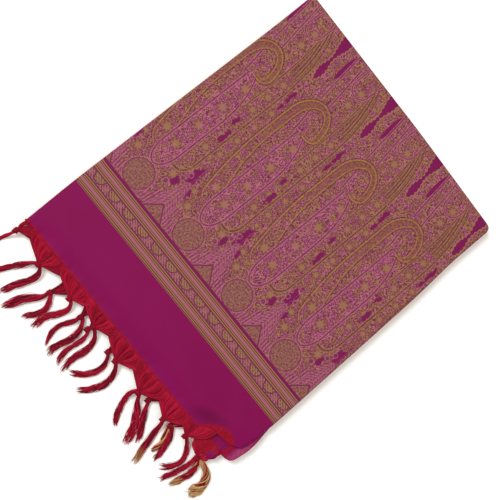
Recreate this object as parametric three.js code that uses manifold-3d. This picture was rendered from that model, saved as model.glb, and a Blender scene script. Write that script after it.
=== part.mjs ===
// A silk saree folded flat, with the fringed end of its pallu on top. Millimetres, +Z up.
// The origin is the middle of the flat underside. X runs across the saree's width, and the
// knotted fringe points along -Y.
import * as THREE from 'three';
import { mergeVertices } from 'three/addons/utils/BufferGeometryUtils.js';
import Module from 'manifold-3d';

const wasm = await Module();
wasm.setup();

// How the saree is folded: to a quarter of its width, then in half four times along its length.
const WIDTH_LAYERS = 4;
const LENGTH_LAYERS = 16;
const PLY = 0.22; // one layer of the silk, as loosely as it lies folded

// The stretches that show.
const WALL = 1;
const GAP = 0.3;
const LIP = 2.6; // outer radius of the fold where the top stretch turns down
const ROLL_END = -30; // degrees below level at which that fold ends
const STACK_TOP = WIDTH_LAYERS * LENGTH_LAYERS * PLY;
const PANEL_TOP = STACK_TOP + GAP + WALL;

// Where the folded block ends on each side. It widens a little towards the fringe.
const LEFT = -145;
const RIGHT_NEAR = 145.6;
const RIGHT_FAR = 138.4;
const FAR = 172;
const NEAR = -171; // the woven edge of the pallu, where the fringe starts
const STACK_NEAR = -168.5;

// The near end of the top stretch sags towards the fringe, and puffs beside its right fold.
const SAG = { from: -150, to: NEAR, depth: 1.8, sideFrom: LEFT + 2, sideTo: LEFT + 26 };
const PUFFS = [
  { x: 127, y: -138, radius: 16, rise: 1.2 },
  { x: 100, y: -152, radius: 14, rise: -0.9 },
];

// Outlines, counter-clockwise. `round` is how far from the corner its rounding starts.
const PANEL_CORNERS = [
  { x: LEFT + 1.5, y: NEAR, round: 2 },
  { x: 97, y: NEAR, round: 4 },
  { x: 113, y: -160.5, round: 8 },
  { x: 133, y: -158, round: 7 },
  { x: 143.5, y: -150, round: 6 },
  { x: RIGHT_NEAR, y: -116, round: 12 },
  { x: 141.7, y: 64, round: 12 },
  { x: RIGHT_FAR, y: 118, round: 10 },
  { x: RIGHT_FAR, y: FAR - 3, round: 7 },
  { x: 20, y: FAR, round: 20 },
  { x: LEFT - 1, y: FAR, round: 4 },
  { x: LEFT, y: 130, round: 20 },
  { x: LEFT, y: -118, round: 16 },
];
const STACK_CORNERS = [
  { x: LEFT + 2.2, y: STACK_NEAR, round: 5 },
  { x: 122, y: STACK_NEAR, round: 10 },
  { x: 142, y: -160, round: 10 },
  { x: 147, y: -140, round: 10 },
  ...PANEL_CORNERS.slice(5),
];
const TURNED_CORNERS = [
  { x: 66, y: -167.5, round: 4 },
  { x: 102, y: -169, round: 3 },
  { x: 108, y: -181, round: 3 },
  { x: 132.5, y: -181, round: 3 },
  { x: 133, y: -170, round: 3 },
  { x: 146, y: -168.5, round: 7 },
  { x: 149.5, y: -146, round: 9 },
  { x: 145.4, y: -116, round: 8 },
  { x: 142.5, y: -97, round: 4 },
  { x: 66, y: -97, round: 4 },
];
const ORIGIN = { x: 0, y: 0 };
const TURNED_MIDDLE = { x: 110, y: -140 };
const CORNER_POINTS = 3;
const STRAIGHT_STEP = 22;

// The hidden layers show at the edges as these rolls, from the floor up. `out` is how far
// inside the outline each one lies, and `wave` how much that varies along the edge.
const ROLLS = [
  { height: 3.0, out: 0.8, wave: 0.5 },
  { height: 3.0, out: 0.5, wave: 0.4 },
  { height: 3.1, out: 0.4, wave: 0.3 },
  { height: 2.4, out: 0.7, wave: 0.3 },
  { height: STACK_TOP - 11.5, out: 1.75, wave: 0.1 },
];
const GROOVE = 1.3; // how deep the grooves between two rolls go
const ROLL_FACE = [0.28, 0.72]; // the shares of its height between which a roll stands full
const WAVE_LENGTH = 61;
const WAVE_SHIFT = 1.9; // how far each roll's wave is moved on from the one below
const NEAR_FALL = 0.36; // how much of their height the upper rolls lose at the near edge
const STACK_CREST = 0.88; // the share of the outline inside which the stack is level

// The lower layer of the fringed end lies in a step of the stack, under the top stretch.
const STEP_FLOOR = ROLLS[0].height + ROLLS[1].height + ROLLS[2].height;
const STEP = { x: 63.5, y: -93.5, reach: 200 };
const TURNED_TOP = STEP_FLOOR + GAP + WALL;
const TURNED_LIFT = 2.4; // how high its right side turns up beside the top stretch
const TURNED_LIFT_FROM = -118;
const TURNED_LIFT_TO = -140;

// Tassel heads. Each gathers the warps between x0 and x1 of the cloth's edge into a knot at
// (knotX, knotY, knotZ). A root with no height of its own follows the top stretch.
const TOP_ROOT = { y: NEAR - GAP };
const LOW_ROOT = { y: STACK_NEAR + ROLLS[2].out - GAP, z: 7.4 };
const TURNED_ROOT = { y: -181 - GAP, z: TURNED_TOP - WALL / 2 };
const HEADS = [
  { name: 'tassel_1', root: TOP_ROOT, x0: -143, x1: -127, knotX: -142, knotY: -182, knotZ: 8 },
  { name: 'tassel_2', root: TOP_ROOT, x0: -127, x1: -88, knotX: -105.5, knotY: -186, knotZ: 8.5 },
  { name: 'tassel_3', root: TOP_ROOT, x0: -88, x1: -50, knotX: -64, knotY: -184, knotZ: 9 },
  { name: 'tassel_4', root: TOP_ROOT, x0: -50, x1: -13, knotX: -31, knotY: -184, knotZ: 9.5 },
  { name: 'tassel_5', root: TOP_ROOT, x0: -13, x1: 24, knotX: 6.5, knotY: -188, knotZ: 8.5 },
  { name: 'tassel_6', root: TOP_ROOT, x0: 24, x1: 59, knotX: 42, knotY: -190, knotZ: 8.5 },
  { name: 'tassel_7', root: TOP_ROOT, x0: 59, x1: 88, knotX: 75.5, knotY: -188, knotZ: 9 },
  { name: 'tassel_8', root: TOP_ROOT, x0: 88, x1: 97, knotX: 100, knotY: -182, knotZ: 12 },
  { name: 'low_tassel_1', root: LOW_ROOT, x0: -86, x1: -60, knotX: -79.5, knotY: -194.5, knotZ: 3.5 },
  { name: 'low_tassel_2', root: LOW_ROOT, x0: -58, x1: -40, knotX: -44.5, knotY: -187, knotZ: 4 },
  { name: 'low_tassel_3', root: LOW_ROOT, x0: -37, x1: -21, knotX: -32, knotY: -189.5, knotZ: 3.5 },
  { name: 'low_tassel_4', root: LOW_ROOT, x0: -16, x1: 6, knotX: -4, knotY: -188, knotZ: 4 },
  { name: 'low_tassel_5', root: LOW_ROOT, x0: 44, x1: 66, knotX: 54, knotY: -188, knotZ: 4 },
  { name: 'low_tassel_6', root: LOW_ROOT, x0: 76, x1: 98, knotX: 85.5, knotY: -187, knotZ: 4 },
  { name: 'low_tassel_7', root: TURNED_ROOT, x0: 109, x1: 131, knotX: 124, knotY: -187, knotZ: 6.5 },
];
// How the gathered warps narrow from the root, at 0, towards the knot, at 1.
const HEAD_STATIONS = [
  { at: 0.0, wide: 1.0, thick: 1.0 },
  { at: 0.35, wide: 0.96, thick: 1.0 },
  { at: 0.62, wide: 0.66, thick: 1.5 },
  { at: 0.85, wide: 0.24, thick: 2.6 },
];
const KNOT = { neck: 4.2, wide: 5.6, long: 5, thick: 4.2 };

// Strands. Each leaves its knot at (x, y) and turns through four headings, in degrees from
// straight away from the cloth, towards +X. It thickens to `wide` and ends `tip` wide.
const STRANDS = [
  { of: 'tassel_1', x: -142, y: -183, turn: [4, -15, 7, -36], long: 46, wide: 3, tip: 2 },
  { of: 'tassel_2', x: -107, y: -188, turn: [-44, -28, -24, -7], long: 49, wide: 4.5, tip: 4 },
  { of: 'tassel_2', x: -104, y: -188, turn: [70, -12, -19, -11], long: 48, wide: 5.5, tip: 5 },
  { of: 'tassel_3', x: -64, y: -186, turn: [96, -18, -15, 21], long: 50, wide: 5, tip: 5.5 },
  { of: 'tassel_4', x: -30, y: -186, turn: [85, 10, -4, 41], long: 55, wide: 5, tip: 5 },
  { of: 'tassel_5', x: 7, y: -190, turn: [59, 11, -26, -27], long: 52, wide: 5, tip: 4.5 },
  { of: 'tassel_6', x: 40, y: -192, turn: [-44, 20, 28, 80], long: 42, wide: 4.5, tip: 3.5 },
  { of: 'tassel_6', x: 44, y: -192, turn: [27, 48, 28, 27], long: 50, wide: 6.5, tip: 6 },
  { of: 'tassel_7', x: 76, y: -190, turn: [28, 14, 17, 19], long: 50, wide: 5, tip: 5 },
  { of: 'tassel_8', x: 101, y: -183, turn: [53, 39, -19, -41], long: 49, wide: 4, tip: 5 },
  { of: 'low_tassel_1', x: -81, y: -197, turn: [29, -36, -18, -39], long: 46, wide: 7, tip: 5 },
  { of: 'low_tassel_1', x: -78, y: -196, turn: [34, 18, -25, 4], long: 38, wide: 4.5, tip: 4.5 },
  { of: 'low_tassel_2', x: -46, y: -189, turn: [33, -25, 15, 15], long: 45, wide: 4, tip: 2 },
  { of: 'low_tassel_2', x: -43, y: -188, turn: [58, 6, -12, 35], long: 50, wide: 5, tip: 5.5 },
  { of: 'low_tassel_3', x: -32, y: -191, turn: [64, -8, 6, 32], long: 46, wide: 4, tip: 4 },
  { of: 'low_tassel_4', x: -4, y: -190, turn: [56, 3, -38, -44], long: 49, wide: 4.5, tip: 5.5 },
  { of: 'low_tassel_5', x: 55, y: -190, turn: [29, 36, 40, 29], long: 41, wide: 5, tip: 4 },
  { of: 'low_tassel_6', x: 84, y: -189, turn: [20, 31, 1, -1], long: 32, wide: 4, tip: 4 },
  { of: 'low_tassel_6', x: 87, y: -188, turn: [46, 28, 12, 10], long: 37, wide: 4.5, tip: 4 },
  { of: 'low_tassel_7', x: 122, y: -188, turn: [21, -4, -18, -8], long: 42, wide: 4, tip: 4 },
  { of: 'low_tassel_7', x: 124, y: -188, turn: [50, 13, -16, 5], long: 40, wide: 5.5, tip: 4 },
  { of: 'low_tassel_7', x: 127, y: -187, turn: [72, 58, -4, -2], long: 45, wide: 5.5, tip: 4 },
];
const STRAND_STATIONS = 9;
const STRAND_ROOT = 3; // width where a strand leaves its knot
const FLATNESS = 0.6; // a strand's thickness for its width
const DROP = 17; // how far along a strand it comes down to the surface
const CLEAR = 0.45; // the lowest strand's height above the surface

const SILK = new THREE.MeshStandardMaterial({ color: 0x85195a, roughness: 0.55, metalness: 0 });
const SHEER = new THREE.MeshStandardMaterial({ color: 0xa04078, roughness: 0.55, metalness: 0 });
const WOVEN = new THREE.MeshStandardMaterial({ color: 0x935068, roughness: 0.7, metalness: 0 });
const RED_YARN = new THREE.MeshStandardMaterial({ color: 0xa01230, roughness: 0.75, metalness: 0 });

const radians = THREE.MathUtils.degToRad;
const { lerp, smoothstep } = THREE.MathUtils;

// The outline's points, with each corner rounded and each straight stretch cut into steps.
function outlinePoints(corners) {
  const points = [];
  corners.forEach((corner, i) => {
    const here = new THREE.Vector2(corner.x, corner.y);
    const before = corners.at(i - 1);
    const after = corners[(i + 1) % corners.length];
    const towards = (other, distance) =>
      new THREE.Vector2(other.x, other.y).sub(here).setLength(distance).add(here);
    const start = towards(before, corner.round);
    const end = towards(after, corner.round);
    const arc = new THREE.QuadraticBezierCurve(start, here, end);
    points.push(...arc.getPoints(CORNER_POINTS));
    const next = towards(after, here.distanceTo(new THREE.Vector2(after.x, after.y)) - after.round);
    const steps = Math.round(end.distanceTo(next) / STRAIGHT_STEP);
    for (let k = 1; k < steps; k += 1) points.push(end.clone().lerp(next, k / steps));
  });
  return points;
}

// The outward direction at each point of a counter-clockwise outline.
function outwardDirections(points) {
  return points.map((point, i) => {
    const along = points[(i + 1) % points.length].clone().sub(points.at(i - 1)).normalize();
    return new THREE.Vector2(along.y, -along.x);
  });
}

// A closed solid through rings of equal length, capped at both ends.
function loft(rings) {
  const size = rings[0].length;
  const index = [];
  for (let r = 0; r + 1 < rings.length; r += 1) {
    for (let i = 0; i < size; i += 1) {
      const a = r * size + i;
      const b = r * size + ((i + 1) % size);
      index.push(a, b, b + size, a, b + size, a + size);
    }
  }
  const cap = (ring, offset, flip) => {
    const flat = ring.map((p) => new THREE.Vector2(p.u ?? p.x, p.v ?? p.y));
    for (const [a, b, c] of THREE.ShapeUtils.triangulateShape(flat, [])) {
      index.push(offset + a, offset + (flip ? c : b), offset + (flip ? b : c));
    }
  };
  cap(rings[0], 0, true);
  cap(rings.at(-1), (rings.length - 1) * size, false);
  const geometry = new THREE.BufferGeometry();
  const positions = rings.flat().flatMap((p) => [p.x, p.y, p.z]);
  geometry.setAttribute('position', new THREE.Float32BufferAttribute(positions, 3));
  geometry.setIndex(index);
  return geometry;
}

function toSolid(geometry) {
  const merged = mergeVertices(geometry, 1e-4);
  const vertProperties = new Float32Array(merged.attributes.position.array);
  const triVerts = new Uint32Array(merged.index.array);
  return new wasm.Manifold(new wasm.Mesh({ numProp: 3, vertProperties, triVerts }));
}

function toGeometry(solid) {
  const { vertProperties, triVerts } = solid.getMesh();
  const geometry = new THREE.BufferGeometry();
  geometry.setAttribute('position', new THREE.Float32BufferAttribute(vertProperties, 3));
  geometry.setIndex(new THREE.Uint32BufferAttribute(triVerts, 1));
  return geometry;
}

// How far a point of the top stretch's outline belongs to its cut near edge, from 0 to 1.
function cutShare(point, direction) {
  return smoothstep(-direction.y, 0.35, 0.8) * smoothstep(-point.y, 140, -SAG.from);
}

// Height of the top stretch's upper face.
function panelHeight(x, y) {
  const near = smoothstep(SAG.from - y, 0, SAG.from - SAG.to);
  const sag = SAG.depth * near * smoothstep(x, SAG.sideFrom, SAG.sideTo);
  const puff = PUFFS.reduce((sum, p) => {
    const away = Math.hypot(x - p.x, y - p.y) / p.radius;
    return sum + p.rise * Math.exp(-away * away);
  }, 0);
  return PANEL_TOP - sag + puff;
}

// A ring of a wall: at folded sides it lies on a roll of the given radius and angle, and at the
// cut near edge it lies `back` from the edge. `down` lowers the cut side to the wall's other face.
function wallRing(outline, outward, { radius, degrees, back, down }, height, lip) {
  return outline.map((point, i) => {
    const cut = cutShare(point, outward[i]);
    const inset = lerp(lip - radius * Math.cos(radians(degrees)), back, cut);
    const drop = lerp(lip - radius * Math.sin(radians(degrees)), down, cut);
    const x = point.x - outward[i].x * inset;
    const y = point.y - outward[i].y * inset;
    return new THREE.Vector3(x, y, height(x, y) - drop);
  });
}

// The outline drawn in towards a middle point.
function centreRing(outline, middle, scale, height) {
  return outline.map((point) => {
    const x = lerp(middle.x, point.x, scale);
    const y = lerp(middle.y, point.y, scale);
    return new THREE.Vector3(x, y, height(x, y));
  });
}

// The top stretch: the fringed end of the pallu, turned down over the far fold and both sides.
function palluPanel() {
  const outline = outlinePoints(PANEL_CORNERS);
  const outward = outwardDirections(outline);
  const inner = LIP - WALL;
  const profile = [
    { radius: inner, degrees: 90, back: 3, down: WALL },
    { radius: inner, degrees: 45, back: 1.6, down: WALL },
    { radius: inner, degrees: 0, back: 0.8, down: WALL },
    { radius: inner, degrees: ROLL_END, back: 0, down: WALL },
    { radius: LIP, degrees: ROLL_END, back: 0, down: 0 },
    { radius: LIP, degrees: 0, back: 0.8, down: 0 },
    { radius: LIP, degrees: 45, back: 1.6, down: 0 },
    { radius: LIP, degrees: 90, back: 3, down: 0 },
  ];
  const rings = profile.map((row) => wallRing(outline, outward, row, panelHeight, LIP));
  const middles = [0.9, 0.75];
  const underside = (x, y) => panelHeight(x, y) - WALL;
  const under = middles.map((scale) => centreRing(outline, ORIGIN, scale, underside));
  const over = middles.map((scale) => centreRing(outline, ORIGIN, scale, panelHeight));
  return loft([...under.reverse(), ...rings, ...over]);
}

// The lower layer of the fringed end, which turns up at its right side into the fold.
function turnedEnd() {
  const outline = outlinePoints(TURNED_CORNERS);
  const outward = outwardDirections(outline);
  const lift = (point, direction) => {
    const near = smoothstep(-point.y, -TURNED_LIFT_FROM, -TURNED_LIFT_TO);
    return TURNED_LIFT * near * smoothstep(direction.x, 0.3, 0.9);
  };
  const ring = (back, face, rise) =>
    outline.map((point, i) => {
      const x = point.x - outward[i].x * back;
      const y = point.y - outward[i].y * back;
      return new THREE.Vector3(x, y, TURNED_TOP + face + rise * lift(point, outward[i]));
    });
  return loft([
    centreRing(outline, TURNED_MIDDLE, 0.9, () => TURNED_TOP - WALL),
    ring(1.0, -WALL, 0.2),
    ring(0, -WALL / 2, 0.7),
    ring(0.5, 0, 1),
    ring(1.5, 0, 0.6),
    centreRing(outline, TURNED_MIDDLE, 0.9, () => TURNED_TOP),
  ]);
}

// The hidden layers as one rounded solid, with a roll for each bundle of folds at its edges.
function foldStack() {
  const outline = outlinePoints(STACK_CORNERS);
  const outward = outwardDirections(outline);
  const ring = (z, inset, roll, wave) =>
    outline.map((point, i) => {
      const phase = (point.x * 0.8 + point.y * 1.1) / WAVE_LENGTH + roll * WAVE_SHIFT;
      const back = inset + wave * (1 + Math.sin(phase * Math.PI)) * 0.5;
      const near = smoothstep(-point.y, -SAG.from, -STACK_NEAR);
      const fall = near * NEAR_FALL * Math.max(0, z - STEP_FLOOR);
      return new THREE.Vector3(point.x - outward[i].x * back, point.y - outward[i].y * back, z - fall);
    });
  const rings = [];
  let floor = 0;
  ROLLS.forEach(({ height, out, wave }, roll) => {
    rings.push(ring(floor, out + GROOVE, roll, wave));
    ROLL_FACE.forEach((share) => rings.push(ring(floor + height * share, out, roll, wave)));
    floor += height;
  });
  const top = ROLLS.at(-1);
  rings.push(ring(STACK_TOP, top.out + GROOVE, ROLLS.length - 1, top.wave));
  rings.push(centreRing(outline, ORIGIN, STACK_CREST, () => STACK_TOP));
  const step = new THREE.Shape();
  step.moveTo(STEP.x, STEP.y);
  step.lineTo(STEP.x, STEP.y - STEP.reach);
  step.lineTo(STEP.x + STEP.reach, STEP.y - STEP.reach);
  step.lineTo(STEP.x + STEP.reach, STEP.y);
  const cutter = new THREE.ExtrudeGeometry(step, { depth: STACK_TOP, bevelEnabled: false });
  cutter.translate(0, 0, STEP_FLOOR);
  cutter.deleteAttribute('normal');
  cutter.deleteAttribute('uv');
  return toGeometry(toSolid(loft(rings)).subtract(toSolid(cutter)));
}

// A four-sided section across `heading`, as corners in space that also know their flat place.
function section(centre, heading, wide, thick, diamond) {
  const side = new THREE.Vector2(Math.cos(heading), Math.sin(heading));
  const corners = diamond ? [[-1, 0], [0, -1], [1, 0], [0, 1]] : [[-1, -1], [1, -1], [1, 1], [-1, 1]];
  return corners.map(([u, v]) => {
    const across = (u * wide) / 2;
    const up = (v * thick) / 2;
    const place = new THREE.Vector3(centre.x + side.x * across, centre.y + side.y * across, centre.z + up);
    return Object.assign(place, { u, v });
  });
}

function tasselHead({ root, x0, x1, knotX, knotY, knotZ }) {
  const width = x1 - x0 - GAP;
  const middle = (x0 + x1) / 2;
  const start = new THREE.Vector3(middle, root.y, root.z ?? panelHeight(middle, NEAR) - WALL / 2);
  const knot = new THREE.Vector3(knotX, knotY, knotZ);
  const rings = HEAD_STATIONS.map(({ at, wide, thick }) => {
    const place = start.clone().lerp(knot, at);
    place.x = lerp(start.x, knot.x, at * at);
    return section(place, 0, Math.max(width * wide, KNOT.neck), thick, false);
  });
  const past = (distance) => new THREE.Vector3(knot.x, knot.y - distance, knot.z);
  rings.push(section(past(0), 0, KNOT.wide, KNOT.thick, false));
  rings.push(section(past(KNOT.long * 0.6), 0, KNOT.wide, KNOT.thick, false));
  rings.push(section(past(KNOT.long), 0, KNOT.neck, KNOT.thick * 0.7, false));
  return loft(rings);
}

// The heading at a share t of a strand, on the one cubic through its four headings.
function headingAt(turn, t) {
  const nodes = turn.map((_, i) => i / (turn.length - 1));
  return turn.reduce((sum, value, i) => {
    const weight = nodes.reduce((w, node, j) => (j === i ? w : (w * (t - node)) / (nodes[i] - node)), 1);
    return sum + radians(value) * weight;
  }, 0);
}

function strand({ x, y, turn, long, wide, tip }, knotZ) {
  const stride = long / STRAND_STATIONS;
  const place = new THREE.Vector2(x, y);
  const rings = [];
  for (let i = 0; i <= STRAND_STATIONS; i += 1) {
    const t = i / STRAND_STATIONS;
    const heading = headingAt(turn, t);
    const body = lerp(STRAND_ROOT, wide, smoothstep(t, 0, 0.35));
    const width = lerp(body, tip, smoothstep(t, 0.6, 1));
    const thick = width * FLATNESS;
    const rest = CLEAR + thick / 2;
    const z = lerp(knotZ, rest, smoothstep(i * stride, 0, DROP));
    rings.push(section(new THREE.Vector3(place.x, place.y, z), heading, width, thick, true));
    const middle = headingAt(turn, t + 0.5 / STRAND_STATIONS);
    place.add(new THREE.Vector2(Math.sin(middle), -Math.cos(middle)).multiplyScalar(stride));
  }
  return loft(rings);
}

function tassel(head) {
  const strands = STRANDS.filter(({ of }) => of === head.name);
  const solids = strands.map((row) => toSolid(strand(row, head.knotZ)));
  return toGeometry(solids.reduce((sum, solid) => sum.add(solid), toSolid(tasselHead(head))));
}

function part(name, geometry, material) {
  const mesh = new THREE.Mesh(geometry, material);
  mesh.name = name;
  return mesh;
}

const saree = new THREE.Group();
saree.add(part('fold_stack', foldStack(), WOVEN));
saree.add(part('turned_end', turnedEnd(), SHEER));
saree.add(part('pallu_panel', palluPanel(), SILK));
const fringe = new THREE.Group();
HEADS.forEach((head) => fringe.add(part(head.name, tassel(head), RED_YARN)));
saree.add(fringe);

export default saree;
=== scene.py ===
"""A silk saree folded flat, with the fringed end of its pallu on top, dressed around its CAD frame.

The frame's axes hold: X runs across the saree's width, the fringe points along -Y and +Z is up. Sizes
are in millimetres, as in the CAD source, and become metres where a mesh is made.
"""

import logging
import math
from dataclasses import dataclass, field, replace
from enum import Enum
from typing import Callable, Sequence

import bmesh
import bpy
import numpy as np
from mathutils import Matrix


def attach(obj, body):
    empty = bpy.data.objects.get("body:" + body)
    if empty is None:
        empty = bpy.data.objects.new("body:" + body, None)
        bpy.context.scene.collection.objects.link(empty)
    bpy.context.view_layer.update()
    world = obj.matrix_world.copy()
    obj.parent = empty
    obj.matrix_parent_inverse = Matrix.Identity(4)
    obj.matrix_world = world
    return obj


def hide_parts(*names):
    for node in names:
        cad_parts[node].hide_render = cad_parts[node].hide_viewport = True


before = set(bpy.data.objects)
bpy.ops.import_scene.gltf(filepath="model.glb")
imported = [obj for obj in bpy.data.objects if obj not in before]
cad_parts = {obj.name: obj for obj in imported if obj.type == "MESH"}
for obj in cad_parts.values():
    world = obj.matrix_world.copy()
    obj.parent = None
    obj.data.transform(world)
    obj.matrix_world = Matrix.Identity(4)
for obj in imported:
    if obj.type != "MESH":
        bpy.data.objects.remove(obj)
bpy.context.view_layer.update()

MM = 0.001
PER_METRE = 1000.0
FULL_TURN = 2 * math.pi
BODY = "root"
CHART_MAP = "cloth"
CHART_SHIFT = (5.0, -30.0)  # where the woven chart's origin lies in the frame
SEED = 29

log = logging.getLogger("saree")

Array = np.ndarray
Place = Callable[[Array, Array], Array]


def smooth(value: Array | float, low: float, high: float) -> Array | float:
    """Ease from 0 at low to 1 at high.

    Args:
        value: The number or numbers to ease.
        low: Where the ease starts.
        high: Where it ends.

    Returns:
        The eased share, from 0 to 1.
    """
    share = np.clip((value - low) / (high - low), 0.0, 1.0)
    return share * share * (3.0 - 2.0 * share)


def dyed(red: int, green: int, blue: int) -> tuple[float, float, float, float]:
    """Turn a colour as a screen shows it, 0 to 255, into the linear one that a shader takes."""
    parts = [c / 255 for c in (red, green, blue)]
    linear = [c / 12.92 if c <= 0.04045 else ((c + 0.055) / 1.055) ** 2.4 for c in parts]
    return (*linear, 1.0)


# Shader expressions


class Value:
    """A number in a shader. An operation on it adds the Math node that works it out."""

    def __init__(self, graph: "Graph", socket: bpy.types.NodeSocket) -> None:
        """Wrap one output socket of a graph."""
        self.graph = graph
        self.socket = socket

    def math(self, operation: str, *others: "Value | float", clamp: bool = False) -> "Value":
        """Add a Math node on this value.

        Args:
            operation: The Math node's operation.
            others: Its other operands, in order.
            clamp: Whether the result is held between 0 and 1.

        Returns:
            The result.
        """
        return self.graph.math(operation, self, *others, clamp=clamp)

    def __add__(self, other: "Value | float") -> "Value":
        """Add."""
        return self.math("ADD", other)

    def __radd__(self, other: float) -> "Value":
        """Add to a number."""
        return self.math("ADD", other)

    def __sub__(self, other: "Value | float") -> "Value":
        """Subtract."""
        return self.math("SUBTRACT", other)

    def __rsub__(self, other: float) -> "Value":
        """Subtract from a number."""
        return self.graph.math("SUBTRACT", other, self)

    def __mul__(self, other: "Value | float") -> "Value":
        """Multiply."""
        return self.math("MULTIPLY", other)

    def __rmul__(self, other: float) -> "Value":
        """Multiply a number."""
        return self.math("MULTIPLY", other)

    def __truediv__(self, other: "Value | float") -> "Value":
        """Divide."""
        return self.math("DIVIDE", other)

    def __rtruediv__(self, other: float) -> "Value":
        """Divide a number."""
        return self.graph.math("DIVIDE", other, self)

    def __neg__(self) -> "Value":
        """Turn the sign."""
        return self.math("MULTIPLY", -1.0)

    def __abs__(self) -> "Value":
        """Drop the sign."""
        return self.math("ABSOLUTE")

    def __and__(self, other: "Value") -> "Value":
        """Keep where both masks hold."""
        return self.math("MULTIPLY", other)

    def __or__(self, other: "Value") -> "Value":
        """Keep where either mask holds."""
        return self.math("MAXIMUM", other)

    def squared(self) -> "Value":
        """Multiply by itself."""
        return self * self

    def at_least(self, low: "Value | float") -> "Value":
        """Hold at or above a number."""
        return self.math("MAXIMUM", low)

    def at_most(self, high: "Value | float") -> "Value":
        """Hold at or below a number."""
        return self.math("MINIMUM", high)

    def clamped(self, plus: float = 0.0) -> "Value":
        """Add a number and hold the sum between 0 and 1."""
        return self.math("ADD", plus, clamp=True)

    def wrapped(self, period: float) -> "Value":
        """Repeat every period, around 0."""
        return self.math("WRAP", period / 2, -period / 2)

    def inside(self, softness: float = 0.3) -> "Value":
        """Turn a length, positive inside a shape, into a mask whose edge is softness wide."""
        return self.math("MULTIPLY_ADD", 1 / softness, 0.5, clamp=True)

    def line(self, half: float) -> "Value":
        """Mask a line along the zero of this distance, half wide on each side of it."""
        return (half - abs(self)).inside()


class Graph:
    """The nodes of one material."""

    def __init__(self, name: str) -> None:
        """Start an empty material of that name."""
        self.material = bpy.data.materials.new(name)
        self.material.use_nodes = True
        self.tree = self.material.node_tree
        self.tree.nodes.clear()

    def node(self, kind: str, settings: dict | None = None, inputs: dict | None = None) -> bpy.types.Node:
        """Add a node.

        Args:
            kind: The node's type.
            settings: Its own settings, set first.
            inputs: Values or links for its sockets, by name or number.

        Returns:
            The node.
        """
        made = self.tree.nodes.new(kind)
        for key, value in (settings or {}).items():
            setattr(made, key, value)
        for key, value in (inputs or {}).items():
            if isinstance(value, Value):
                value = value.socket
            if isinstance(value, bpy.types.NodeSocket):
                self.tree.links.new(value, made.inputs[key])
            else:
                made.inputs[key].default_value = value
        return made

    def math(self, operation: str, *operands: Value | float, clamp: bool = False) -> Value:
        """Add a Math node on values or numbers, and return its result."""
        settings = {"operation": operation, "use_clamp": clamp}
        return Value(self, self.node("ShaderNodeMath", settings, dict(enumerate(operands))).outputs[0])

    def length(self, across: Value, along: Value) -> Value:
        """Work out the length of a flat vector."""
        pair = self.node("ShaderNodeCombineXYZ", inputs={0: across, 1: along}).outputs[0]
        measured = self.node("ShaderNodeVectorMath", {"operation": "LENGTH"}, {0: pair})
        return Value(self, measured.outputs["Value"])

    def cloth_map(self) -> tuple[Value, Value]:
        """Read the piece's cloth map, in millimetres across and along."""
        chart = self.node("ShaderNodeUVMap", {"uv_map": CHART_MAP}).outputs[0]
        parts = self.node("ShaderNodeSeparateXYZ", inputs={0: chart})
        return Value(self, parts.outputs[0]) * PER_METRE, Value(self, parts.outputs[1]) * PER_METRE

    def flat(self, across: Value, along: Value, scale: float) -> bpy.types.NodeSocket:
        """Join two lengths into a texture vector, scaled."""
        pair = self.node("ShaderNodeCombineXYZ", inputs={0: across, 1: along}).outputs[0]
        settings = {"operation": "SCALE"}
        return self.node("ShaderNodeVectorMath", settings, {0: pair, "Scale": scale}).outputs[0]

    def noise(self, vector: bpy.types.NodeSocket, detail: float = 1.0, lively: float = 0.5) -> Value:
        """Read flat noise of about one bump for each unit of the vector."""
        settings = {"noise_dimensions": "2D"}
        inputs = {"Vector": vector, "Scale": 1.0, "Detail": detail, "Roughness": lively}
        return Value(self, self.node("ShaderNodeTexNoise", settings, inputs).outputs[0])

    def attribute(self, name: str) -> Value:
        """Read one of the piece's own numbers."""
        return Value(self, self.node("ShaderNodeAttribute", {"attribute_name": name}).outputs["Fac"])

    def mix(self, below: object, above: object, share: Value | float) -> bpy.types.NodeSocket:
        """Lay one colour over another.

        Args:
            below: The colour underneath, or a link.
            above: The colour on top, or a link.
            share: How much of it shows.

        Returns:
            The mixed colour.
        """
        inputs = {0: share, 6: below, 7: above}
        return self.node("ShaderNodeMix", {"data_type": "RGBA", "clamp_factor": True}, inputs).outputs[2]

    def surface(self, constants: dict, **inputs: object) -> bpy.types.Material:
        """Close the material with its shader.

        Args:
            constants: Numbers and colours that hold all over, by socket.
            inputs: Links that change over the surface, by socket with underscores.

        Returns:
            The material.
        """
        links = {key.replace("_", " "): value for key, value in inputs.items()}
        shader = self.node("ShaderNodeBsdfPrincipled", inputs={**constants, **links})
        self.node("ShaderNodeOutputMaterial", inputs={"Surface": shader.outputs[0]})
        return self.material

    def bump(self, height: Value, rise: float) -> bpy.types.NodeSocket:
        """Turn a height from 0 to 1, rise metres at 1, into a normal."""
        return self.node("ShaderNodeBump", inputs={"Height": height, "Distance": rise}).outputs[0]


# The woven chart


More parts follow.
